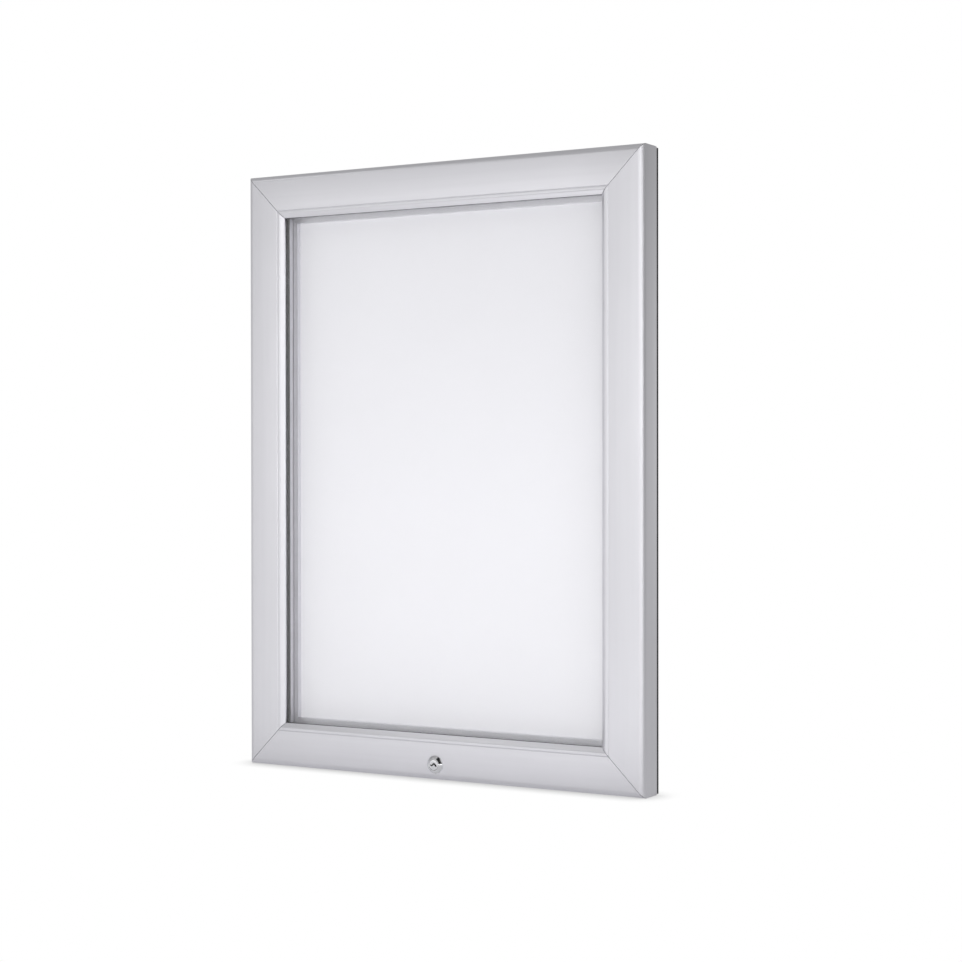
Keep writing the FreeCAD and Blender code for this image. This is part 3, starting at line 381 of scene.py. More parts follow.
def circle(radius, centre, count=48):
    """Points on a circle at equal turns."""
    angles = np.linspace(0, 2 * math.pi, count, endpoint=False)
    return np.stack([centre[0] + radius * np.cos(angles), centre[1] + radius * np.sin(angles)], axis=1)


def place(piece, body, slot, material, *nodes):
    """Ride a piece on its body, give it its finish and let it stand for its nodes."""
    piece.data.materials.clear()
    piece.data.materials.append(material)
    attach(piece, body)
    if nodes:
        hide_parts(*nodes)
    return piece


def dress(material, *nodes):
    """Give nodes of the frame their finish."""
    for node in nodes:
        for material_slot in frame["nodes"][node].material_slots:
            material_slot.material = material


# ---------------------------------------------------------------- finishes
def add_node(tree, kind, inputs, **settings):
    """A shader node with its settings; each input takes a value or another node's output."""
    node = tree.nodes.new(f"ShaderNode{kind}")
    for key, value in settings.items():
        setattr(node, key, value)
    for key, value in inputs.items():
        if isinstance(value, bpy.types.NodeSocket):
            tree.links.new(value, node.inputs[key])
        else:
            node.inputs[key].default_value = value
    return node


def calculate(tree, operation, *values):
    """Result of a sum on numbers or on other nodes' outputs."""
    return add_node(tree, "Math", dict(enumerate(values)), operation=operation).outputs["Value"]


def blend(tree, share, start, end):
    """Colour between two others."""
    inputs = {"Factor": share, "A": start, "B": end}
    return add_node(tree, "Mix", inputs, data_type="RGBA").outputs["Result"]


def ranged(tree, source, from_min, from_max, to_min, to_max, smooth=False):
    """A value brought from one range to another and held at both ends."""
    inputs = {"Value": source, "From Min": from_min, "From Max": from_max, "To Min": to_min, "To Max": to_max}
    kind = "SMOOTHSTEP" if smooth else "LINEAR"
    return add_node(tree, "MapRange", inputs, interpolation_type=kind).outputs["Result"]


def depth_in(tree):
    """Y in the object's own coordinates."""
    source = add_node(tree, "TexCoord", {}).outputs["Object"]
    return add_node(tree, "SeparateXYZ", {"Vector": source}).outputs["Y"]


class Finish:
    """A material with one shader, and the nodes that draw its pattern over Object coordinates."""

    def __init__(self, name, colour, **numbers):
        self.material = bpy.data.materials.new(name)
        self.material.use_nodes = True
        self.tree = self.material.node_tree
        self.shader = self.tree.nodes["Principled BSDF"]
        self.colour = tuple(colour)
        self.shader.inputs["Base Color"].default_value = (*self.colour, 1)
        for socket, value in numbers.items():
            self.shader.inputs[socket.replace("_", " ").title().replace("Ior", "IOR")].default_value = value
        self.height = None

    def feed(self, socket, source):
        """Link a pattern to the shader."""
        self.tree.links.new(source, self.shader.inputs[socket])

    def noise(self, scale, stretch=(1, 1, 1), detail=3.0):
        """Noise whose grain is pulled out along the axes where the stretch is small."""
        source = add_node(self.tree, "TexCoord", {}).outputs["Object"]
        mapping = add_node(self.tree, "Mapping", {"Vector": source, "Scale": stretch})
        return add_node(self.tree, "TexNoise", {
            "Vector": mapping.outputs["Vector"], "Scale": scale, "Detail": detail,
            "Roughness": 0.55}).outputs["Fac"]

    def spread(self, source, start, end):
        """Noise, which mostly keeps between a quarter and three quarters, brought to a range."""
        return ranged(self.tree, source, 0.25, 0.75, start, end)

    def tone(self, source, darker, lighter):
        """Colour that varies between two shares of the base colour with a pattern."""
        shades = [(*(min(1, part * level) for part in self.colour), 1) for level in (darker, lighter)]
        self.feed("Base Color", blend(self.tree, self.spread(source, 0, 1), *shades))

    def shade_painted_between(self, source, start, end):
        """Painted shade: tone that falls to a few hundredths between two depths in Y, sharply at both."""
        depth = depth_in(self.tree)
        painted_shade_band = calculate(self.tree, "MULTIPLY", calculate(self.tree, "GREATER_THAN", depth, start),
                           calculate(self.tree, "LESS_THAN", depth, end))
        level = calculate(self.tree, "SUBTRACT", self.spread(source, 0.97, 1.02),
                          calculate(self.tree, "MULTIPLY", painted_shade_band, 0.93))
        self.feed("Base Color", blend(self.tree, level, (0, 0, 0, 1), (*self.colour, 1)))

    def gloss(self, source, smooth, rough):
        """Roughness that varies between two values with a pattern."""
        self.feed("Roughness", self.spread(source, smooth, rough))

    def relief(self, source, depth):
        """Bump of a pattern, depth in metres, laid on any bump made before it."""
        inputs = {"Strength": 1.0, "Distance": depth, "Height": source}
        if self.height is not None:
            inputs["Normal"] = self.height
        self.height = add_node(self.tree, "Bump", inputs).outputs["Normal"]
        self.feed("Normal", self.height)


ALONG_GRAIN = 0.02


def along(axis):
    """Stretch of a pattern whose grain runs along an axis."""
    return [ALONG_GRAIN if letter == axis else 1.0 for letter in "xyz"]


# Each finish is made once for its values and shared.
@cache
def anodised(axis, dulled=0.0):
    """Satin anodised extrusion: fine die lines along the rail, soft streaks and a light satin grain."""
    made = Finish(f"anodised_along_{axis}", bpy.context.scene.case_finish.anodised, metallic=1.0,
                  roughness=0.36 + dulled)
    lines = made.noise(1400, along(axis), detail=2)
    made.tone(made.noise(170, along(axis), detail=4), 0.985, 1.012)
    made.gloss(lines, 0.33 + dulled, 0.40 + dulled)
    made.relief(lines, 0.0025 * MM)
    made.relief(made.noise(2600, detail=1), 0.0012 * MM)
    return made.material


@cache
def mill_aluminium():
    """Plain extruded aluminium, duller and a little streaky."""
    made = Finish("mill_aluminium", bpy.context.scene.case_finish.mill, metallic=1.0, roughness=0.45)
    made.tone(made.noise(60, detail=4), 0.93, 1.03)
    made.gloss(made.noise(500, (1, 1, 0.2)), 0.38, 0.52)
    made.relief(made.noise(900), 0.004 * MM)
    return made.material


@cache
def dull_aluminium():
    """Anodising of the parts inside the door: rougher, and its colour a tenth darker as painted shade."""
    darker = tuple(0.9 * part for part in bpy.context.scene.case_finish.anodised)
    made = Finish("dull_aluminium", darker, metallic=1.0, roughness=0.42)
    made.tone(made.noise(50, detail=4), 0.92, 1.05)
    made.gloss(made.noise(600), 0.36, 0.48)
    made.relief(made.noise(1200), 0.003 * MM)
    return made.material


@cache
def stainless(axis):
    """Brushed stainless steel, with its scratches along an axis."""
    made = Finish(f"stainless_along_{axis}", bpy.context.scene.case_finish.steel, metallic=1.0,
                  roughness=0.28)
    scratches = made.noise(2200, along(axis), detail=3)
    made.tone(scratches, 0.92, 1.04)
    made.gloss(scratches, 0.22, 0.36)
    made.relief(scratches, 0.003 * MM)
    return made.material


@cache
def chrome(painted_shade_depths=None):
    """Polished plating with hairline scratches and handling marks; between two depths its colour is painted
    nearly black, as painted shade in the keyway and the gap round the plug.
    """
    made = Finish("lock_chrome", bpy.context.scene.case_finish.chrome, metallic=1.0, roughness=0.08)
    marks = made.noise(220, detail=3)
    made.gloss(made.noise(900, (1, 1, 0.15), detail=4), 0.05, 0.14)
    made.relief(made.noise(1600, (0.3, 1, 1)), 0.0006 * MM)
    if painted_shade_depths is None:
        made.tone(marks, 0.97, 1.02)
    else:
        made.shade_painted_between(marks, *painted_shade_depths)
    return made.material


@cache
def black_rubber():
    """Matt black rubber with a fine open grain."""
    made = Finish("black_rubber", bpy.context.scene.case_finish.rubber, roughness=0.72,
                  specular_ior_level=0.35)
    made.tone(made.noise(350, detail=4), 0.75, 1.35)
    made.gloss(made.noise(700), 0.62, 0.82)
    made.relief(made.noise(1500, detail=2), 0.02 * MM)
    return made.material


@cache
def poster_card():
    """Coated card: a very fine tooth and the faintest cloudiness."""
    made = Finish("poster_card", bpy.context.scene.case_finish.card, roughness=0.5,
                  specular_ior_level=0.4)
    made.tone(made.noise(9, detail=3), 0.992, 1.006)
    made.gloss(made.noise(300, detail=3), 0.44, 0.58)
    made.relief(made.noise(2500, detail=2), 0.004 * MM)
    return made.material


@cache
def backing_board():
    """Foamed grey board with a soft pebbled skin."""
    made = Finish("backing_board", bpy.context.scene.case_finish.board, roughness=0.6,
                  specular_ior_level=0.35)
    made.tone(made.noise(40, detail=5), 0.95, 1.04)
    made.gloss(made.noise(400, detail=3), 0.52, 0.7)
    made.relief(made.noise(800, detail=3), 0.02 * MM)
    return made.material


@cache
def clear_sheet():
    """Clear sheet: see-through, with the gloss of its skin and the faintest wipe marks."""
    made = Finish("clear_sheet", (0.95, 0.96, 0.97), roughness=0.03, alpha=0.06, ior=1.49)
    made.gloss(made.noise(6, (1, 1, 0.3), detail=4), 0.015, 0.06)
    made.material.surface_render_method = "BLENDED"
    return made.material


# ---------------------------------------------------------------- door rails and glazing beads
def door_section(rail):
    """Outline of the door's extrusion and of its chamber, as (y, inwards)."""
    skin_y = FRONT_Y + rail.wall
    web_y = high("door_key_screws", "y") + 0.1 * MM
    chamber_end_y = web_y - rail.web
    seat_y = low("glazing_gasket", "y")
    hook_y = low("back_rail_left", "y") - 0.5 * MM
    hook_front_y = hook_y - rail.hook_thickness
    leg_in = RAIL_WIDTH - rail.rebate
    chamber_in = leg_in - rail.web
    groove_in = RAIL_WIDTH - rail.groove_inset
    crease_in = RAIL_WIDTH - rail.lip_slant
    half = rail.groove_width / 2
    edge = rail.edge_radius
    fine = edge / 4
    outside = rounded([
        (FRONT_Y, 0, rail.front_radius),
        (FRONT_Y, groove_in - half, fine),
        (FRONT_Y + rail.groove_depth, groove_in, fine),
        (FRONT_Y, groove_in + half, fine),
        (FRONT_Y, crease_in - half, fine),
        (FRONT_Y + rail.groove_depth, crease_in, fine),
        (FRONT_Y + half * rail.lip_drop / rail.lip_slant, crease_in + half, fine),
        (FRONT_Y + rail.lip_drop, RAIL_WIDTH, 2 * edge),
        (seat_y, RAIL_WIDTH, edge),
        (seat_y, RAIL_WIDTH - rail.lip_seat),
        (skin_y + rail.lip_drop / 3, RAIL_WIDTH - rail.lip_seat),
        (skin_y, crease_in - rail.groove_width),
        (skin_y, leg_in, edge),
        (hook_front_y, leg_in, fine),
        (hook_front_y, leg_in + rail.hook_reach, edge),
        (hook_y, leg_in + rail.hook_reach, edge),
        (hook_y, chamber_in, edge),
        (web_y, chamber_in, fine),
        (web_y, rail.wall, edge),
        (DOOR_REAR_Y, rail.wall, edge),
        (DOOR_REAR_Y, 0, rail.rear_radius),
    ])
    chamber = rounded([
        (skin_y, rail.wall, rail.front_radius - rail.wall),
        (skin_y, chamber_in, edge),
        (chamber_end_y, chamber_in, edge),
        (chamber_end_y, rail.wall, edge),
    ])
    return outside, chamber


def key_screw_places(node):
    """Middles of the screws in a node of identical screws: the corner spots, two to a corner."""
    points = np.array([vertex.co for vertex in frame["nodes"][node].data.vertices])
    return cluster_middles(points[:, [0, 2]])


def cluster_middles(points, gap=12 * MM):
    """Middle of the box of each group of points that lie further than a gap from all others."""
    left = points
    middles = []
    while len(left):
        near = np.linalg.norm(left - left[0], axis=1) < gap
        group = left[near]
        middles.append((group.min(axis=0) + group.max(axis=0)) / 2)
        left = left[~near]
    return sorted(middles, key=lambda spot: (round(spot[0], 4), round(spot[1], 4)))


def on_rail(spot, side):
    """True if a spot on the case's front lies within one rail of the door."""
    x, z = spot
    to_edge = {"top": CASE_HALF_HEIGHT - z, "bottom": CASE_HALF_HEIGHT + z,
               "left": CASE_HALF_WIDTH + x, "right": CASE_HALF_WIDTH - x}
    return min(to_edge, key=to_edge.get) == side


class POSTERCASE_OT_door_rails(bpy.types.Operator):
    """Build the four mitred rails of the door"""
    bl_idname = "postercase.door_rails"
    bl_label = "Door rails"

    def execute(self, context):
        rail = context.scene.case_rail
        outside, chamber = door_section(rail)
        screws = key_screw_places("door_key_screws")
        web_y = high("door_key_screws", "y")
        for side in SIDES:
            piece = mitred_bar(f"door_{side}_rail", side, [outside, chamber], rail.mitre_gap,
                               rail.mitre_ease)
            tools = [prism("tool", circle(rail.screw_bore, spot), web_y - 3 * MM, web_y + 1 * MM)
                     for spot in screws if on_rail(spot, side)]
            if side == "top":
                end = CASE_HALF_WIDTH + 1 * MM
                foot = CASE_HALF_HEIGHT - rail.hinge_relief
                head = CASE_HALF_HEIGHT + 1 * MM
                relief = np.array([(-end, foot), (end, foot), (end, head), (-end, head)])
                tools.append(prism("tool", relief, high("door_rail_top", "y"), 0))
            if side == "bottom":
                x, _, z = joint("lock_turn")["pos_m"]
                lock = context.scene.case_lock
                tools.append(prism("tool", circle(lock.hole, (x, z), 72), FRONT_Y - 1 * MM, FRONT_Y + 3 * MM))
                tools.append(prism("tool", circle(lock.nut_hole, (x, z), 72), web_y - 3 * MM,
                                   web_y + 1 * MM))
            carve(piece, joined("tools", tools))
            grain = "z" if side in ("left", "right") else "x"
            place(piece, "door", "anodised_aluminium", anodised(grain), f"door_rail_{side}")
        return {"FINISHED"}


def bead_section():
    """Outline of a snap-in glazing bead, an angle with a foot on the glazing, as (y, inwards)."""
    wall = 1.2 * MM
    edge = 0.3 * MM
    foot_y = high("glazing_sheet", "y")
    top_y = high("glazing_bead_left", "y")
    flange_y = top_y - 1 * MM
    inner = high("glazing_bead_left", "x") + CASE_HALF_WIDTH
    outer = low("glazing_bead_left", "x") + CASE_HALF_WIDTH
    foot_length = 7.3 * MM
    foot = inner - foot_length
    return rounded([
        (foot_y, inner, edge),
        (top_y, inner, edge),
        (top_y, inner - wall, edge),
        (flange_y, inner - wall),
        (flange_y, outer, edge),
        (flange_y - wall, outer, edge),
        (flange_y - wall, inner - wall, edge),
        (foot_y + wall, inner - wall, edge),
        (foot_y + wall, foot, edge),
        (foot_y, foot, edge),
    ])


class POSTERCASE_OT_glazing(bpy.types.Operator):
    """Build the clear sheet, its four beads and its tape"""
    bl_idname = "postercase.glazing"
    bl_label = "Glazing"

    def execute(self, context):
        rail = context.scene.case_rail
        section = bead_section()
        for side in SIDES:
            bead = mitred_bar(f"{side}_glazing_bead", side, [section], rail.mitre_gap, 0.1 * MM)
            # The beads take the anodising painted a tenth darker: painted shade inside the door.
            place(bead, "door", "anodised_aluminium", dull_aluminium(), f"glazing_bead_{side}")
        place(eased_sheet("clear_sheet", "glazing_sheet", 0.35 * MM), "door", "clear_acrylic",
              clear_sheet(), "glazing_sheet")
        seals = [mitred_bar("seal", side, [loop], rail.mitre_gap, 0.05 * MM)
                 for loop in seal_sections(rail) for side in SIDES]
        place(joined("glazing_seal", seals), "door", "black_rubber", black_rubber(), "glazing_gasket")
        return {"FINISHED"}


def seal_sections(rail):
    """Outlines of the tape before the sheet and of the soft edge behind it, as (y, inwards); the soft edge's
    black is partly painted shade.
    """
    edge = 0.15 * MM
    front = low("glazing_gasket", "y")
    back = high("glazing_gasket", "y")
    start = RAIL_WIDTH - rail.lip_seat + 0.05 * MM
    end = RAIL_WIDTH - 0.3 * MM
    tape = rounded([(front, start, edge), (front, end, edge), (back, end, edge), (back, start, edge)])
    rear = high("glazing_sheet", "y")
    # The black soft edge is a real seal, made 4.8 mm tall so that its black also stands for the shade in the
    # gap under the lip: partly painted shade.
    tip = rear + 4.8 * MM
    bead = high("glazing_bead_left", "x") + CASE_HALF_WIDTH
    root = bead + 0.02 * MM
    lip = rounded([(rear, root, edge / 2), (rear, bead + 1.05 * MM, 2 * edge),
                   (tip, bead + 0.5 * MM, edge), (tip, root)])
    return tape, lip


def eased_sheet(name, node, ease):
    """A flat sheet the size of a node, with its long edges bevelled.

    Four rings follow the outline through the thickness: the first and last are drawn in by the ease.
    """
    corner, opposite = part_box(node)
    depths = (corner[1], corner[1] + ease, opposite[1] - ease, opposite[1])
    rings = []
    for depth, inset in zip(depths, (ease, 0, 0, ease)):
        x = np.array([corner[0] + inset, opposite[0] - inset])
        z = np.array([corner[2] + inset, opposite[2] - inset])
        rings.append([(x[0], depth, z[0]), (x[1], depth, z[0]), (x[1], depth, z[1]), (x[0], depth, z[1])])
    faces = list(ring_faces(4, 4)) + [np.arange(4), 12 + np.arange(4)[::-1]]
    return new_piece(name, np.array(rings).reshape(-1, 3), faces)


# ---------------------------------------------------------------- poster
class POSTERCASE_OT_poster(bpy.types.Operator):
    """Build the plain card under the ledge of the back frame"""
    bl_idname = "postercase.poster"
    bl_label = "Poster card"

    def execute(self, context):
        place(card("poster", "poster_insert"), "case_back", "poster_card", poster_card(), "poster_insert")
        return {"FINISHED"}


def card(name, node, columns=61, rows=85, rise=0.45 * MM):
    """A card that lies flat at its edges and stands a little off its panel in the middle.

    With u and v from -1 to 1 across and up, the front moves forwards by rise * (1 - u^2) * (1 - v^2),
    squared, times 0.7 + 0.3 * cos(2.2 * pi * u + 0.8) * cos(1.6 * pi * v); the back follows it.
    """
    corner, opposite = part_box(node)
    u, v = np.meshgrid(np.linspace(-1, 1, columns), np.linspace(-1, 1, rows))
    dome = ((1 - u ** 2) * (1 - v ** 2)) ** 2
    lift = rise * dome * (0.7 + 0.3 * np.cos(2.2 * math.pi * u + 0.8) * np.cos(1.6 * math.pi * v))
    x = corner[0] + (u + 1) / 2 * (opposite[0] - corner[0])
    z = corner[2] + (v + 1) / 2 * (opposite[2] - corner[2])
    layers = [np.stack([x, face_y - lift, z], axis=-1).reshape(-1, 3)
              for face_y in (corner[1], opposite[1])]
    index = np.arange(columns * rows).reshape(rows, columns)
    quads = np.stack([index[:-1, :-1], index[:-1, 1:], index[1:, 1:], index[1:, :-1]], axis=-1)
    quads = quads.reshape(-1, 4)
    border = np.concatenate([index[0, :-1], index[:-1, -1], index[-1, :0:-1], index[:0:-1, 0]])
    after = np.roll(border, -1)
    count = columns * rows
    edge = np.stack([border, after, after + count, border + count], axis=1)
    faces = np.concatenate([quads, quads[:, ::-1] + count, edge])
    return new_piece(name, np.concatenate(layers), faces)


# ---------------------------------------------------------------- lock
class POSTERCASE_OT_lock(bpy.types.Operator):
    """Build the cam lock: collar with barrel, and plug with a waved keyway"""
    bl_idname = "postercase.lock"
    bl_label = "Lock"

    def execute(self, context):
        lock = context.scene.case_lock
        place(lock_collar(lock), "door", "lock_chrome", chrome(), "lock_body")
        # The plug's colour is painted nearly black from just behind its face to the end of the keyway:
        # painted shade in the keyway and round the plug.
        bore = (low("lock_plug", "y") + 0.3 * MM, low("lock_plug", "y") + lock.key_depth + 0.1 * MM)
        place(lock_plug(lock), "lock_plug", "lock_chrome", chrome(bore), "lock_plug")
        dress(chrome(), "lock_nut", "lock_cam")
        dress(stainless("x"), "cam_screw")
        return {"FINISHED"}


def lock_collar(lock):
    """Collar, barrel and bore in one section, spun about the lock's axis.

    From the ring on the face the section slopes to the collar's edge, drops to the rail, steps in to
    the barrel and comes back along the bore; its edges are rounded.
    """
    x, y, z = joint("lock_turn")["pos_m"]
    face_y = low("lock_body", "y")
    end_y = high("lock_body", "y")
    collar = high("lock_body", "x") - x
    bore = high("lock_plug", "x") - x + 0.05 * MM
    barrel = 8 * MM
    section = rounded([
        (bore, face_y, lock.ease),
        (lock.ring_radius, face_y, lock.ease),
        (collar, y - lock.edge, lock.ease),
        (collar, y),
        (barrel, y),
        (barrel, end_y, lock.ease),
        (bore, end_y, lock.ease),
    ])
    return lathe("lock_collar", section, (x, 0, z))


def lock_plug(lock):
    """Plug with a rounded rim, its square tail, and a keyway.

    The keyway's middle line is z = wave * cos(2.6 * pi * (s - 0.08)) for s from -0.5 to 0.5 along its
    length, less its own mean. Its outline lies to either side, half a width * (0.75 + 0.5 * s) away.
    """
    x, y, z = joint("lock_turn")["pos_m"]
    face_y = low("lock_plug", "y")
    radius = high("lock_plug", "x") - x
    tail_y = high("lock_plug", "y")
    barrel_end = high("lock_body", "y")
    half_tail = 3 * MM
    rim = rounded([(radius, face_y, 1.5 * lock.ease), (radius, barrel_end), (0, barrel_end),
                   (0, face_y), (radius / 2, face_y)])
    plug = lathe("plug", rim, (x, 0, z))
    tail = prism("tail", np.array([(-half_tail, z - half_tail), (half_tail, z - half_tail),
                                   (half_tail, z + half_tail), (-half_tail, z + half_tail)]),
                 barrel_end - 1 * MM, tail_y)
    carve(plug, tail, "UNION")
    share = np.linspace(-0.5, 0.5, 33)
    across = share * lock.key_length
    wave = lock.key_wave * np.cos(2.6 * math.pi * (share - 0.08))
    wave -= wave.mean()
    slope = np.gradient(wave, across)
    normal = np.stack([-slope, np.ones_like(slope)], axis=1)
    normal /= np.linalg.norm(normal, axis=1, keepdims=True)
    line = np.stack([across + x, wave + z], axis=1)
    aside = normal * (lock.key_width / 2 * (0.75 + 0.5 * share))[:, None]
    outline = np.concatenate([line + aside, (line - aside)[::-1]])
    carve(plug, prism("keyway", outline, face_y - 1 * MM, face_y + lock.key_depth))
    plug.name = "keyed_plug"
    return plug


# ---------------------------------------------------------------- small steel parts
def socket_screw(centre, face, end, radius, flats):
    """Set screw along Y with a hexagon socket in the end that shows.

    Rings run from the rim to the middle of the socket; a ring of the socket has the radius of a hexagon,
    half the flats / cos(the angle from the nearest flat's middle), and the rim is rounded.
    """
    turns = 48
    angles = np.linspace(0, 2 * math.pi, turns, endpoint=False)
    hexagon = flats / 2 / np.cos((angles + math.pi / 6) % (math.pi / 3) - math.pi / 6)
    inwards = math.copysign(1, end - face)
    chamfer = 0.18 * radius
    full = np.full(turns, radius)
    rings = [
        (np.zeros(turns), face + inwards * 1.6 * MM),
        (hexagon * 0.98, face + inwards * 1.5 * MM),
        (hexagon, face + inwards * 0.15 * MM),
        (hexagon * 1.06, face),
        (full - chamfer, face),
        (full, face + inwards * chamfer),
        (full, end - inwards * chamfer),
        (full - chamfer, end),
        (np.zeros(turns), end),
    ]
    points = np.concatenate([
        np.stack([centre[0] + ring * np.cos(angles), np.full(turns, depth),
                  centre[1] + ring * np.sin(angles)], axis=1) for ring, depth in rings])
    return new_piece("screw", points, list(ring_faces(len(rings), turns)), 25)


class POSTERCASE_OT_fixings(bpy.types.Operator):
    """Build the corner keys' set screws and finish the keys and the keeper"""
    bl_idname = "postercase.fixings"
    bl_label = "Keys, screws and keeper"

    def execute(self, context):
        radius = 2 * MM
        flats = 2 * MM
        faces = {"door": (high("door_key_screws", "y"), low("door_key_screws", "y")),
                 "back": (low("back_key_screws", "y"), high("back_key_screws", "y"))}
        bodies = {"door": "door", "back": "case_back"}
        for group, (face, end) in faces.items():
            node = f"{group}_key_screws"
            screws = [socket_screw(spot, face, end, radius, flats) for spot in key_screw_places(node)]
            place(joined(f"{group}_set_screws", screws), bodies[group], "stainless_steel",
                  stainless("y"), node)
        dress(mill_aluminium(), "door_corner_keys", "back_corner_keys")
        dress(stainless("x"), "keeper_plate", "keeper_screws")
        return {"FINISHED"}


class POSTERCASE_OT_hinge(bpy.types.Operator):
    """Finish the continuous hinge and its screws"""
    bl_idname = "postercase.hinge"
    bl_label = "Hinge"

    def execute(self, context):
        dress(stainless("x"), "hinge_leaf_back", "hinge_leaf_door", "hinge_pin", "hinge_screws_back",
              "hinge_screws_door")
        return {"FINISHED"}


class POSTERCASE_OT_stays(bpy.types.Operator):
    """Finish the two stays, their studs and slide pins"""
    bl_idname = "postercase.stays"
    bl_label = "Stays"

    def execute(self, context):
        dress(stainless("z"), "stay_arm_left", "stay_arm_right")
        dress(stainless("x"), "stay_slide_pin_left", "stay_slide_pin_right", "stay_studs")
        return {"FINISHED"}


class POSTERCASE_OT_back_frame(bpy.types.Operator):
    """Finish the back frame, its panel and the seals"""
    bl_idname = "postercase.back_frame"
    bl_label = "Back frame"

    def execute(self, context):
        dress(anodised("x", 0.14), "back_rail_top", "back_rail_bottom")
        dress(anodised("z", 0.14), "back_rail_left", "back_rail_right")
        dress(backing_board(), "backing_panel")
        dress(black_rubber(), "weather_seal", "door_seal")
        return {"FINISHED"}


# ---------------------------------------------------------------- studio
# Brightness of the studio round the case, by the compass: degrees to the right of straight ahead, and the
# level on the horizon, above it and overhead.
STUDIO_LEVELS = [
    (-180, 0.90, 0.40, 0.45),
    (-130, 0.85, 0.42, 0.45),
    (-95, 0.66, 0.44, 0.45),
    (-60, 0.68, 0.38, 0.42),
    (-42, 0.80, 0.29, 0.45),
    (-30, 1.68, 0.28, 0.47),
    (-15, 2.15, 0.36, 0.56),
    (0, 1.65, 0.64, 0.68),
    (20, 1.70, 0.86, 0.80),
    (42, 2.30, 0.95, 0.80),
    (63, 4.60, 1.00, 0.80),
    (70, 0.36, 0.54, 0.66),
    (100, 0.34, 0.34, 0.50),
    (125, 0.38, 0.32, 0.45),
    (145, 0.46, 0.28, 0.45),
    (165, 0.74, 0.32, 0.45),
]
# Heights, as sines, over which each level passes into the next.
STUDIO_STEPS = ((0.02, 0.20), (0.40, 0.75))
# A black flag up to the right, which the polished lock mirrors: the normal of the plane it lies in, half
# its width and its lowest point, all as sines.
FLAG_NORMAL = (-0.517, -0.815, -0.264)
FLAG_HALF_WIDTH = 0.15
FLAG_FOOT = 0.05
FLAG_DENSITY = 0.985
# A low strip before the case, which metal doesn't mirror, and a small overhead lamp to the left.
KEY_AT = (0.15, -0.65, -0.2)
KEY_SIZE = (1.2, 0.25)
HIGH_LEFT_AT = (-0.68, -0.72, 0.75)
HIGH_LEFT_SIZE = (0.6, 0.6)
HIGH_LEFT_POWER = 0.75


def compass_ramp(tree, share, column):
    """Colour of one column of the studio's levels at a share of the full turn."""
    ramp = add_node(tree, "ValToRGB", {"Fac": share})
    stops = ramp.color_ramp.elements
    levels = [*STUDIO_LEVELS, (180, *STUDIO_LEVELS[0][1:])]
    while len(stops) < len(levels):
        stops.new(0.5)
    for stop, level in zip(stops, levels):
        stop.position = (level[0] + 180) / 360
        stop.color = (level[column],) * 3 + (1,)
    return ramp.outputs["Color"]


def seen_as(tree, seen, otherwise):
    """One shader for the camera and another for everything else that looks."""
    by_camera = add_node(tree, "LightPath", {}).outputs["Is Camera Ray"]
    return add_node(tree, "MixShader", {0: by_camera, 1: otherwise, 2: seen}).outputs["Shader"]


def studio_world():
    """World whose level follows three colour ramps over the compass, mixed by height."""
    world = bpy.data.worlds.new("studio")
    bpy.context.scene.world = world
    world.use_nodes = True
    tree = world.node_tree
    direction = add_node(tree, "TexCoord", {}).outputs["Generated"]
    parts = add_node(tree, "SeparateXYZ", {"Vector": direction}).outputs
    compass = calculate(tree, "ARCTAN2", parts["X"], calculate(tree, "MULTIPLY", parts["Y"], -1.0))
    share = calculate(tree, "ADD", calculate(tree, "MULTIPLY", compass, 1 / (2 * math.pi)), 0.5)
    level = compass_ramp(tree, share, 1)
    for column, (start, end) in zip((2, 3), STUDIO_STEPS):
        height = ranged(tree, parts["Z"], start, end, 0, 1, smooth=True)
        level = blend(tree, height, level, compass_ramp(tree, share, column))

    across = add_node(tree, "VectorMath", {0: direction, 1: FLAG_NORMAL}, operation="DOT_PRODUCT")
    off_plane = calculate(tree, "ABSOLUTE", across.outputs["Value"])
    flag = calculate(tree, "LESS_THAN", off_plane, FLAG_HALF_WIDTH)
    for axis, foot in (("X", 0.02), ("Z", FLAG_FOOT)):
        flag = calculate(tree, "MULTIPLY", flag, calculate(tree, "GREATER_THAN", parts[axis], foot))
    open_sky = calculate(tree, "SUBTRACT", 1.0, calculate(tree, "MULTIPLY", flag, FLAG_DENSITY))
    sky = tree.nodes["Background"]
    tree.links.new(level, sky.inputs["Color"])
    tree.links.new(open_sky, sky.inputs["Strength"])
    backdrop = add_node(tree, "Background", {"Color": (1, 1, 1, 1), "Strength": 1.0})
    surface = seen_as(tree, backdrop.outputs["Background"], sky.outputs["Background"])
    tree.links.new(surface, tree.nodes["World Output"].inputs["Surface"])


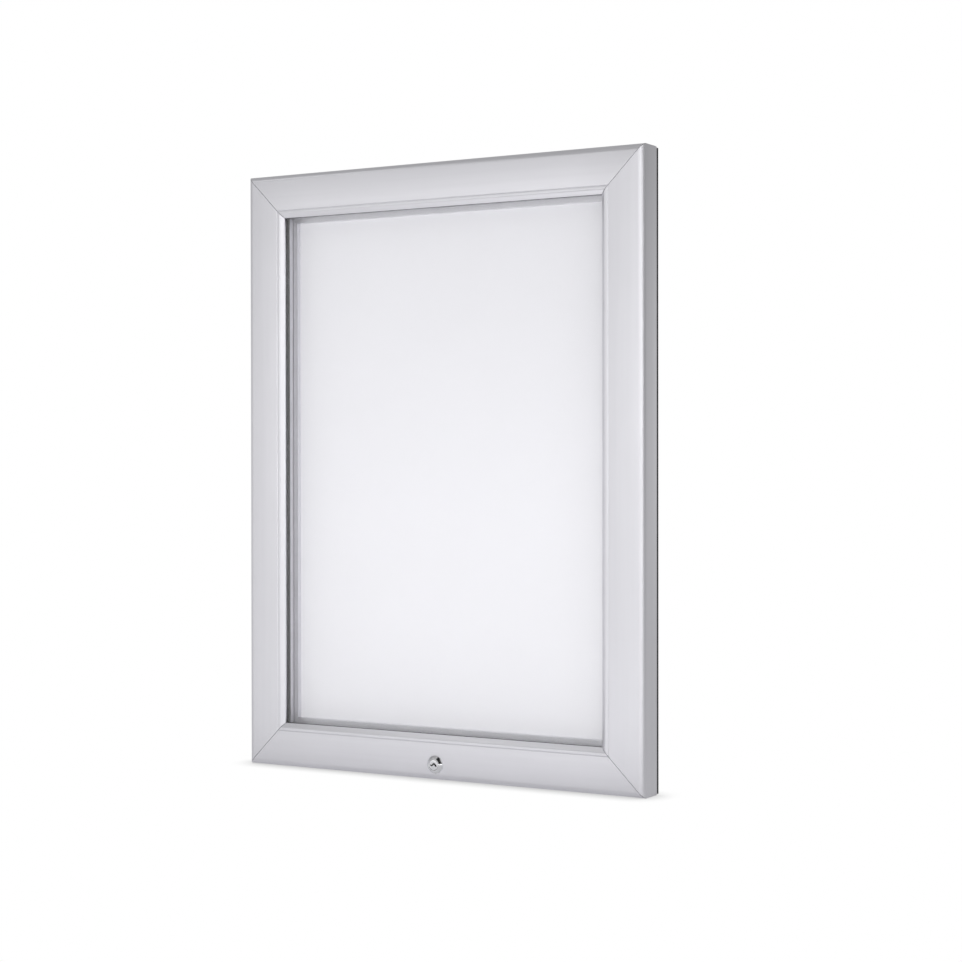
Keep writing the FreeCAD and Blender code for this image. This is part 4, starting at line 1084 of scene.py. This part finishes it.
def studio_floor(settings):
    """Pale floor just under the case.

    The camera sees it white with a shadow where the case stands close; the case itself is lit by its
    diffuse colour and by a glow that grows with the distance before the case.
    """
    half = settings.floor_size / 2
    level = cad_box[0][2] - 0.2 * MM
    corners = np.array([(-half, -half, level), (half, -half, level), (half, half, level),
                        (-half, half, level)])
    floor = new_piece("floor", corners, [range(4)])
    if floor.data.polygons[0].normal.z < 0:
        floor.data.flip_normals()
    material = bpy.data.materials.new("floor")
    material.use_nodes = True
    tree = material.node_tree
    tree.nodes.clear()
    contact = add_node(tree, "AmbientOcclusion", {"Distance": settings.contact}, samples=16)
    shade = ranged(tree, contact.outputs["AO"], 0.42, 0.97, 0.66, 1.0)
    white = add_node(tree, "Emission", {"Strength": shade})
    diffuse = add_node(tree, "BsdfDiffuse", {"Color": (0.80, 0.80, 0.81, 1)})
    glow = ranged(tree, depth_in(tree), 0.0, -0.45, 0.15, settings.floor_lift, smooth=True)
    lift = add_node(tree, "Emission", {"Strength": glow})
    lifted = add_node(tree, "AddShader", {0: diffuse.outputs["BSDF"], 1: lift.outputs["Emission"]})
    surface = seen_as(tree, white.outputs["Emission"], lifted.outputs["Shader"])
    add_node(tree, "OutputMaterial", {"Surface": surface})
    floor.data.materials.append(material)


def studio_camera(settings):
    """Camera on a line from its target, turned by azimuth, elevation and roll."""
    cos_elevation = math.cos(settings.elevation)
    back = Vector((math.sin(settings.azimuth) * cos_elevation,
                   -math.cos(settings.azimuth) * cos_elevation, math.sin(settings.elevation)))
    right = Vector((math.cos(settings.azimuth), math.sin(settings.azimuth), 0))
    up = back.cross(right)
    turn = Matrix.Rotation(-settings.roll, 3, "Z")
    axes = Matrix((right, up, back)).transposed() @ turn.inverted()
    target = Vector((settings.target_x, FRONT_Y, settings.target_z))
    lens = bpy.data.cameras.new("camera")
    lens.lens = settings.lens
    lens.sensor_width = 36
    lens.clip_end = 100
    camera = bpy.data.objects.new("camera", lens)
    camera.matrix_world = Matrix.Translation(target + back * settings.distance) @ axes.to_4x4()
    bpy.context.scene.collection.objects.link(camera)
    bpy.context.scene.camera = camera


def soft_light(name, place_at, aim, size, power, mirrored):
    """Area lamp that points at a place; metal mirrors it or not, and it is never seen itself."""
    lamp = bpy.data.lights.new(name, "AREA")
    lamp.shape = "RECTANGLE"
    lamp.size, lamp.size_y = size
    lamp.energy = power
    light = bpy.data.objects.new(name, lamp)
    light.location = place_at
    light.visible_glossy = mirrored
    light.visible_camera = False
    light.rotation_mode = "QUATERNION"
    light.rotation_quaternion = (Vector(aim) - Vector(place_at)).to_track_quat("-Z", "Y")
    bpy.context.scene.collection.objects.link(light)


class POSTERCASE_OT_studio(bpy.types.Operator):
    """Build the floor, the soft light and the camera"""
    bl_idname = "postercase.studio"
    bl_label = "Studio"

    def execute(self, context):
        settings = context.scene.case_studio
        context.scene.view_settings.view_transform = "Standard"
        studio_world()
        studio_floor(settings)
        studio_camera(settings)
        soft_light("key", KEY_AT, (KEY_AT[0], 0, KEY_AT[2]), KEY_SIZE, settings.key_power, False)
        soft_light("high_left", HIGH_LEFT_AT, (*HIGH_LEFT_AT[:2], 0), HIGH_LEFT_SIZE, HIGH_LEFT_POWER, True)
        return {"FINISHED"}


# ---------------------------------------------------------------- panel and run
OPERATORS = (
    POSTERCASE_OT_studio,
    POSTERCASE_OT_door_rails,
    POSTERCASE_OT_glazing,
    POSTERCASE_OT_poster,
    POSTERCASE_OT_lock,
    POSTERCASE_OT_fixings,
    POSTERCASE_OT_hinge,
    POSTERCASE_OT_stays,
    POSTERCASE_OT_back_frame,
)


class POSTERCASE_PT_panel(bpy.types.Panel):
    """Lists the pieces of the poster case"""
    bl_idname = "POSTERCASE_PT_panel"
    bl_label = "Poster Case"
    bl_space_type = "VIEW_3D"
    bl_region_type = "UI"
    bl_category = "Poster Case"

    def draw(self, context):
        for operator in OPERATORS:
            self.layout.operator(operator.bl_idname)
        for name in ("case_rail", "case_lock", "case_finish", "case_studio"):
            settings = getattr(context.scene, name)
            box = self.layout.box()
            for key in settings.__annotations__:
                box.prop(settings, key)


CLASSES = (*SETTINGS, *OPERATORS, POSTERCASE_PT_panel)


def register():
    for item in CLASSES:
        bpy.utils.register_class(item)
    bpy.types.Scene.case_rail = bpy.props.PointerProperty(type=RailSettings)
    bpy.types.Scene.case_lock = bpy.props.PointerProperty(type=LockSettings)
    bpy.types.Scene.case_finish = bpy.props.PointerProperty(type=FinishSettings)
    bpy.types.Scene.case_studio = bpy.props.PointerProperty(type=StudioSettings)


def unregister():
    for name in ("case_rail", "case_lock", "case_finish", "case_studio"):
        delattr(bpy.types.Scene, name)
    for item in reversed(CLASSES):
        bpy.utils.unregister_class(item)


def main():
    register()
    for operator in OPERATORS:
        family, name = operator.bl_idname.split(".")
        getattr(getattr(bpy.ops, family), name)()


if __name__ == "__main__":
    main()
